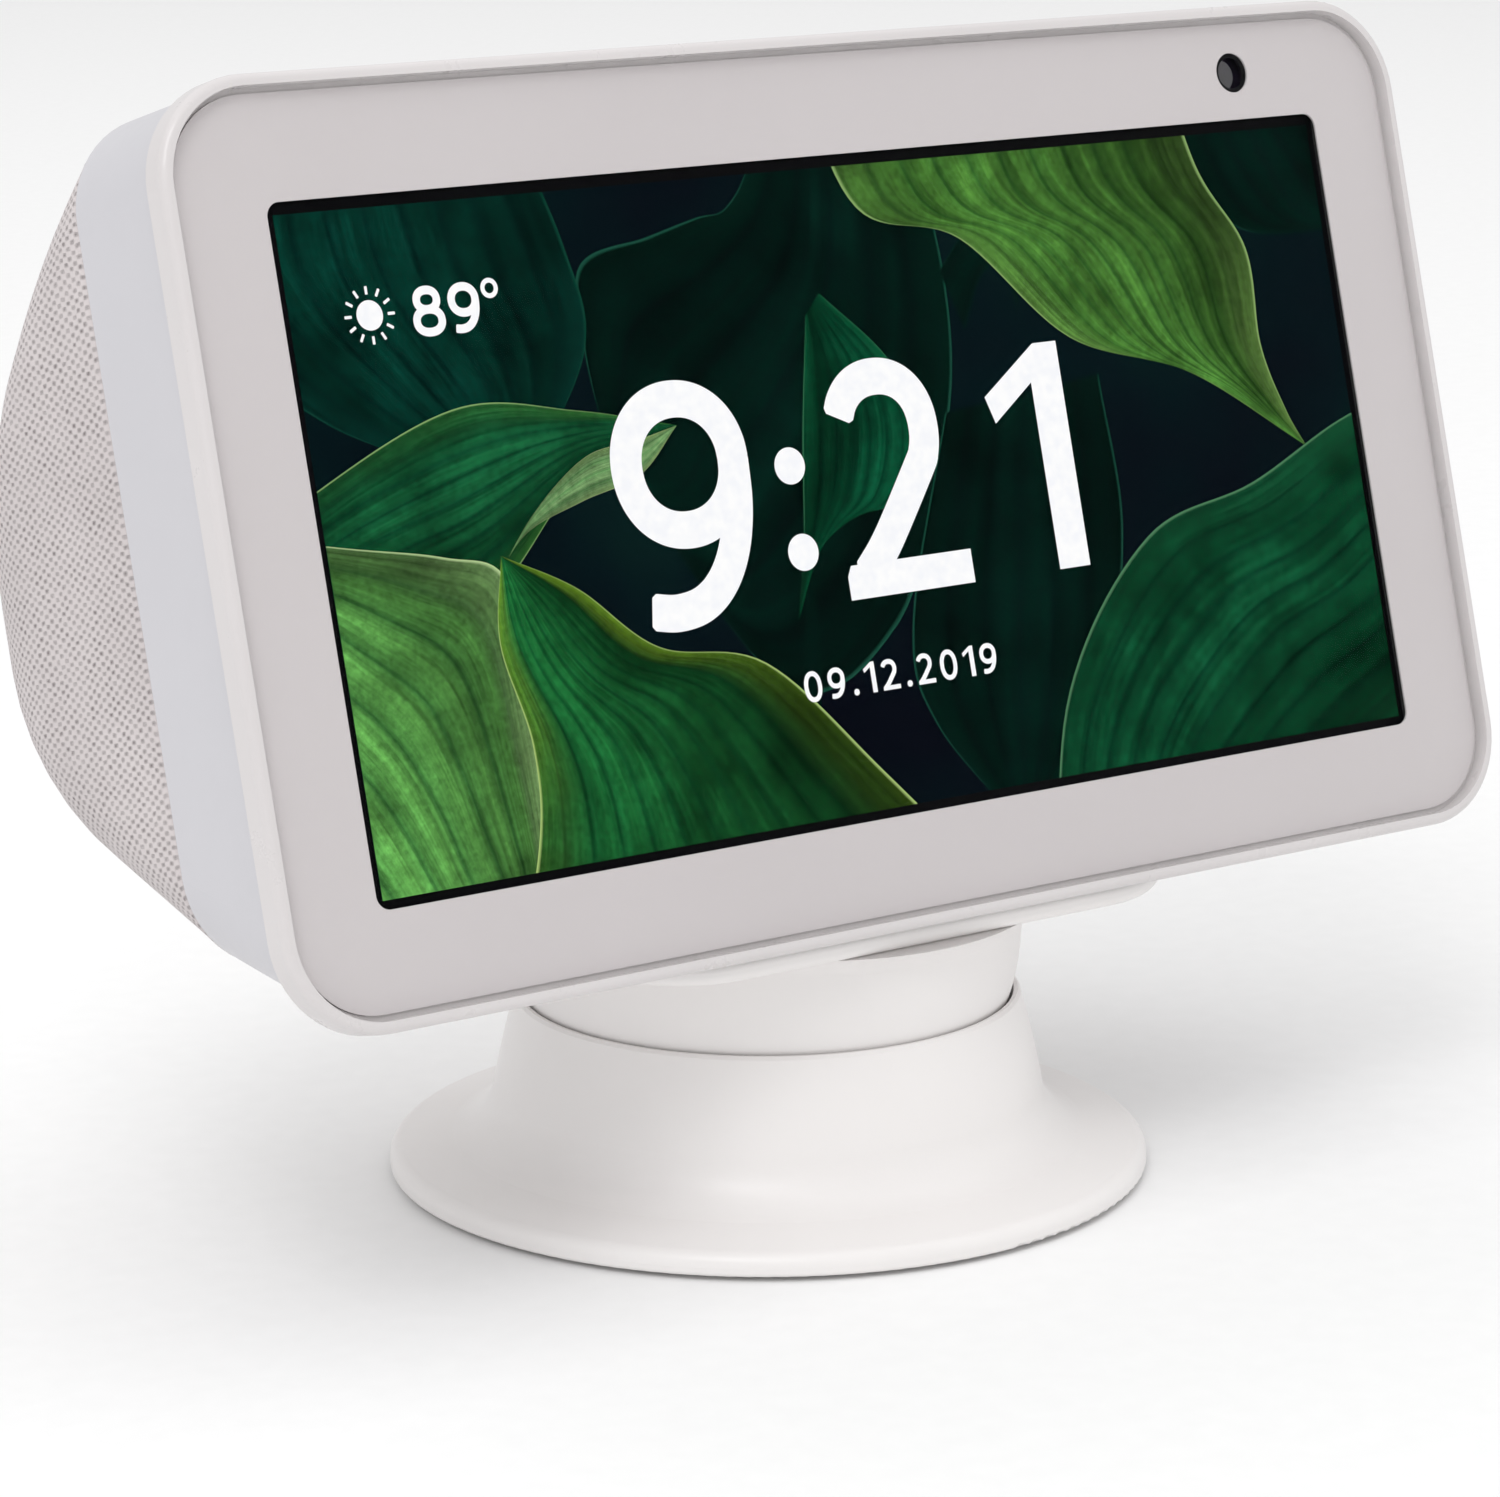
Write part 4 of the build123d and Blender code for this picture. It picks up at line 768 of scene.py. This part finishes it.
# each leaf: (name, one edge, the other edge, layer, material), edges from foot to tip
LEAVES = (
    (
        "leaf_upper_left",
        ((-70, 40), (-72, 25), (-60, 12), (-40, 4)),
        ((-36, 40), (-31.5, 26), (-31, 16), (-40, 4)),
        2, leaf_dark,
    ),
    (
        "leaf_centre_far",
        ((-11.5, -12), (-9.5, -5), (-7.5, 6), (-5, 17)),
        ((-11.5, -12), (-7.5, -5.5), (-3, -3), (3.5, -1.5), (6.5, 5), (4, 12), (-3, 19)),
        2, leaf_centre,
    ),
    (
        "leaf_centre_stem",
        ((-16, -36), (-13, -24), (-11, -14), (-9, -6)),
        ((-13, -36), (-11, -24), (-9.5, -14), (-9, -6)),
        1.8, leaf_far,
    ),
    (
        "leaf_curl",
        ((12, 20), (17, 24), (22, 22), (21, 15)),
        ((14, 14), (17, 19), (20, 20), (21, 15)),
        1.9, leaf_far,
    ),
    (
        "leaf_centre_back",
        ((-30, 6), (-31, 16), (-30, 24), (-22, 26), (-16, 27.4), (-12.5, 28), (-9, 32), (-6, 40)),
        ((-30, 6), (-14, -18), (0, -14), (8, 0), (12, 12), (12, 26), (8, 36), (-6, 40)),
        1.5, leaf_far,
    ),
    (
        "leaf_right_back",
        ((10, 6), (2, -14), (3, -24), (12, -36)),
        ((30, 8), (30, -8), (24, -24), (12, -36)),
        1.6, leaf_far,
    ),
    (
        "leaf_corner_far",
        ((44, 36), (46, 28), (52, 21), (66, 20)),
        ((64, 36), (66, 30), (68, 24), (66, 20)),
        1.6, leaf_far,
    ),
    (
        "leaf_top_right",
        ((-2, 42), (3, 27), (15, 23), (27, 12), (42, 7), (56, -2)),
        ((44, 42), (47, 28), (52, 19), (52, 9), (54, 2), (56, -2)),
        3, leaf_top,
    ),
    (
        "leaf_mid_left",
        ((-76, -2), (-62, 6), (-46, 12), (-33, 10.5), (-22, 8)),
        ((-76, -20), (-62, -10), (-46, -6), (-34, 4), (-22, 8)),
        3, leaf_mid,
    ),
    (
        "leaf_mid_fold",
        ((-46, -6), (-40, 1), (-33, 6), (-27, 7), (-22, 8)),
        ((-46, -6), (-41, -0.5), (-34, 2), (-27, 3.8), (-22, 8)),
        4, leaf_fold,
    ),
    (
        "leaf_low_right",
        ((14, -44), (20, -23), (33, -9), (48, -5), (64, 1), (80, 2)),
        ((40, -48), (48, -40), (60, -34), (70, -28), (78, -18), (80, 2)),
        3, leaf_low,
    ),
    (
        "leaf_low_left",
        ((-84, 6), (-80, -8), (-76, -22), (-70, -34), (-62, -46), (-54, -54), (-50, -58)),
        ((-84, 6), (-62, 1), (-50, -1.4), (-43.6, -4.2), (-43, -16), (-44, -34), (-50, -58)),
        5, leaf_bright,
    ),
    (
        "leaf_front_low",
        ((-52, -46), (-45, -30), (-43.6, -20), (-45.4, -10), (-43.8, -2)),
        ((12, -46), (-4, -28), (-16, -15.6), (-28, -12.5), (-36, -6), (-43.8, -2)),
        6, leaf_front,
    ),
)
for name, one, other, layer, material in LEAVES:
    patch("wallpaper_" + name, one, other, layer, material)

# ---- numerals ----------------------------------------------------------------------------------------
def bow(cx, cy, rx, ry, start, stop, square=0.92):
    """Points on a slightly squared ellipse between two angles in degrees."""
    count = max(int(abs(stop - start) / 12), 6)
    made = []
    for k in range(count + 1):
        turn = math.radians(start + (stop - start) * k / count)
        c, s = math.cos(turn), math.sin(turn)
        x, y = math.copysign(abs(c) ** square, c), math.copysign(abs(s) ** square, s)
        made.append((cx + rx * x, cy + ry * y))
    return made


# strokes of each numeral, as centre lines in a unit box
STROKES = {
    "0": (bow(0.5, 0.5, 0.5, 0.5, 0, 360),),
    "2": (bow(0.42, 0.72, 0.44, 0.28, 158, -38) + [(0.42, 0.26), (0.24, 0.13), (0.07, 0.03)],),
    "8": (bow(0.5, 0.77, 0.4, 0.23, 0, 360), bow(0.5, 0.27, 0.5, 0.27, 0, 360)),
    "9": (bow(0.48, 0.69, 0.48, 0.31, 0, 360, 0.95), bow(0.26, 0.69, 0.7, 0.69, 0, -104, 0.88)),
}
# straight-edged parts of each numeral, as outlines in the unit box of the whole numeral
BLOCKS = {
    "1": (((1.0, 0.0), (1.0, 1.0), (0.7, 1.0), (0.0, 0.79), (0.09, 0.67), (0.61, 0.83), (0.61, 0.0)),),
    "2": (((0.0, 0.0), (1.0, 0.0), (1.0, 0.145), (0.035, 0.145), (0.0, 0.1)),),
}


def ribbon(points, width, depth):
    """Vertices and faces of a flat stroke whose ends taper slightly."""
    line = spline(points, 6 * len(points))
    rows = []
    for k, spot in enumerate(line):
        ahead = line[min(k + 1, len(line) - 1)] - line[max(k - 1, 0)]
        side = Vector((-ahead.y, ahead.x, 0)).normalized() * width / 2
        rows.append((spot, side))
    closed = (line[0] - line[-1]).length < 1e-6
    if not closed:
        first, last = (line[0] - line[1]).normalized(), (line[-1] - line[-2]).normalized()
        start_cap = (line[0] + first * width * 0.12, rows[0][1] * 0.78)
        end_cap = (line[-1] + last * width * 0.12, rows[-1][1] * 0.78)
        rows = [start_cap, *rows, end_cap]
    vertices = []
    for spot, side in rows:
        for edge in (spot - side, spot + side):
            vertices.append(on_face(edge.x, edge.y, depth))
    faces = [(2 * k, 2 * k + 1, 2 * k + 3, 2 * k + 2) for k in range(len(rows) - 1)]
    return vertices, faces


def disc(x, y, radius, depth, inner=0.0, steps=32):
    """Vertices and faces of a flat disc or ring."""
    vertices, faces = [], []
    for k in range(steps):
        turn = 2 * math.pi * k / steps
        for r in (inner, radius):
            vertices.append(on_face(x + r * math.cos(turn), y + r * math.sin(turn), depth))
    for k in range(steps):
        nxt = (k + 1) % steps
        faces.append((2 * k, 2 * k + 1, 2 * nxt + 1, 2 * nxt))
    return vertices, faces


def combine(name, shapes, material):
    """One display piece from several flat shapes."""
    points, faces = [], []
    for shape_points, shape_faces in shapes:
        start = len(points)
        points.extend(shape_points)
        faces.extend(tuple(start + k for k in face) for face in shape_faces)
    mesh = mesh_from(name, points, faces)
    work = bmesh.new()
    work.from_mesh(mesh)
    bmesh.ops.remove_doubles(work, verts=work.verts, dist=1e-7)
    bmesh.ops.recalc_face_normals(work, faces=work.faces)
    work.to_mesh(mesh)
    work.free()
    return new_object(name, mesh, material, "display", smooth=False)


def numeral(sign, x0, x1, y0, y1, width, depth):
    """Strokes and blocks of one numeral that fills a box."""
    shapes = []
    inset = width / 2
    for k, stroke in enumerate(STROKES.get(sign, ())):
        points = [(x0 + inset + u * (x1 - x0 - width), y0 + inset + v * (y1 - y0 - width)) for u, v in stroke]
        shapes.append(ribbon(points, width, depth - 0.002 * k))
    for outline in BLOCKS.get(sign, ()):
        points = [on_face(x0 + u * (x1 - x0), y0 + v * (y1 - y0), depth - 0.006) for u, v in outline]
        shapes.append((points, [tuple(range(len(points)))]))
    return shapes


def numeral_light():
    """White of the numerals, very slightly uneven as a lit panel is."""
    made = lit("numeral_white")
    even = made.noise(900.0, 1.0)
    made.join(made.mix(made.spread(even, 0, 1), (0.93, 0.94, 0.97), (1.0, 1.0, 1.0)), "Emission Color")
    return made.material


white = numeral_light()
TOP_LAYER = PANEL_DEPTH - LAYER * 8
CLOCK_BASE = -10.9
COLON_X, COLON_R = -9.8, 1.8
WEATHER_BASE, WEATHER_TOP = 18.8, 23.5
DATE_BASE, DATE_TOP = -20.0, -17.0
DATE_GAP, DATE_STROKE = 0.75, 0.48
SUN_X, SUN_Y = -53.7, 21.3
SUN_RAYS = 12
combine(
    "clock_numerals",
    numeral("9", -30.3, -14.0, -11.4, 12.3, 3.55, TOP_LAYER)
    + [disc(COLON_X, 2.8, COLON_R, TOP_LAYER), disc(COLON_X, -5.6, COLON_R, TOP_LAYER)]
    + numeral("2", -5.0, 10.3, CLOCK_BASE, 12.2, 3.6, TOP_LAYER)
    + numeral("1", 15.0, 25.0, CLOCK_BASE, 11.8, 3.9, TOP_LAYER),
    white,
)
rays = []
sun = Vector((SUN_X, SUN_Y, 0))
for k in range(SUN_RAYS):
    turn = 2 * math.pi * k / SUN_RAYS
    direction = Vector((math.cos(turn), math.sin(turn), 0))
    rays.append(ribbon([sun + direction * 1.95, sun + direction * 2.65], 0.28, TOP_LAYER))
combine("weather_sun", [disc(SUN_X, SUN_Y, 1.4, TOP_LAYER), *rays], white)
combine(
    "weather_numerals",
    numeral("8", -49.2, -45.7, WEATHER_BASE, WEATHER_TOP, 0.8, TOP_LAYER)
    + numeral("9", -45.2, -41.7, WEATHER_BASE, WEATHER_TOP, 0.8, TOP_LAYER)
    + [disc(-40.5, 22.7, 0.95, TOP_LAYER, 0.5)],
    white,
)
date_shapes = []
date_x = -12.2
for sign in "09.12.2019":
    if sign == ".":
        date_shapes.append(disc(date_x + 0.4, DATE_BASE + 0.3, 0.32, TOP_LAYER))
        date_x += 1.5
    else:
        width = 1.4 if sign == "1" else 2.1
        date_shapes += numeral(sign, date_x, date_x + width, DATE_BASE, DATE_TOP, DATE_STROKE, TOP_LAYER)
        date_x += width + DATE_GAP
combine("date_numerals", date_shapes, white)

# ---- black surround of the camera --------------------------------------------------------------------
camera_low, camera_high = node_box("camera_lens")
camera_x = (camera_low.x + camera_high.x) / 2 / MM
camera_reach = span_along("camera_lens", FACE_UP)
camera_y = ((camera_reach[0] + camera_reach[1]) / 2 - FACE.dot(FACE_UP)) / MM
SURROUND_R = 2.6
SURROUND_HOLE_R = 1.6
SURROUND_DEPTH = 1.36


def surround_black():
    """Dead-matt black print round the lens."""
    made = Shader("camera_surround_black", (0.004, 0.004, 0.005), 0.7, Specular_IOR_Level=0.1)
    mottle = made.spread(made.noise(2500.0, 2.0), 0, 1)
    made.join(made.mix(mottle, (0.002, 0.002, 0.003), (0.007, 0.007, 0.008)), "Base Color")
    return made.material


surround_ring = disc(camera_x, camera_y, SURROUND_R, SURROUND_DEPTH, SURROUND_HOLE_R, 64)
combine("camera_surround", [surround_ring], surround_black())

# ---- stage, lights and camera ------------------------------------------------------------------------
def stage_material():
    """Plain pale floor with a barely visible paper tooth."""
    made = Shader("pale_floor", (0.93, 0.93, 0.93), 0.9)
    tooth = made.noise(300.0, 2.0)
    made.join(made.mix(made.spread(tooth, 0, 1), (0.925, 0.925, 0.925), (0.94, 0.94, 0.94)), "Base Color")
    return made.material


FLOOR = 6.0
floor_corners = [(-FLOOR, -FLOOR, 0), (FLOOR, -FLOOR, 0), (FLOOR, FLOOR, 0), (-FLOOR, FLOOR, 0)]
floor_mesh = mesh_from("floor", floor_corners, [(0, 1, 2, 3)])
new_object("floor", floor_mesh, stage_material(), smooth=False)

world = bpy.data.worlds.new("pale_world")
bpy.context.scene.world = world
world.use_nodes = True
world.node_tree.nodes["Background"].inputs["Color"].default_value = (1, 1, 1, 1)
world.node_tree.nodes["Background"].inputs["Strength"].default_value = 0.78


def softbox(name, position, target, size, power):
    """Square area light aimed at a point."""
    data = bpy.data.lights.new(name, "AREA")
    data.shape = "SQUARE"
    data.size = size
    data.energy = power
    lamp = bpy.data.objects.new(name, data)
    bpy.context.scene.collection.objects.link(lamp)
    lamp.location = position
    aim = Vector(target) - Vector(position)
    lamp.rotation_euler = aim.to_track_quat("-Z", "Y").to_euler()


AIM = (0.0, 0.0, 0.06)
softbox("key_light", (-0.7, -0.6, 1.0), AIM, 0.6, 4.2)
softbox("fill_light", (1.0, -0.8, 0.5), AIM, 0.9, 0.4)
softbox("top_light", (0.0, 0.2, 1.5), AIM, 2.4, 8.0)

CAMERA_AT = Vector((-0.28825, -0.39392, 0.15741))
CAMERA_LOOK = Vector((0.5724, 0.7879, -0.2272))
CAMERA_ROLL = Quaternion((0, 0, 1), math.radians(-0.28))
camera_data = bpy.data.cameras.new("camera")
camera_data.sensor_width = 36.0
camera_data.lens = 118.55
camera = bpy.data.objects.new("camera", camera_data)
bpy.context.scene.collection.objects.link(camera)
camera.location = CAMERA_AT
camera.rotation_euler = (CAMERA_LOOK.to_track_quat("-Z", "Y") @ CAMERA_ROLL).to_euler()
bpy.context.scene.camera = camera
bpy.context.scene.view_settings.view_transform = "Standard"
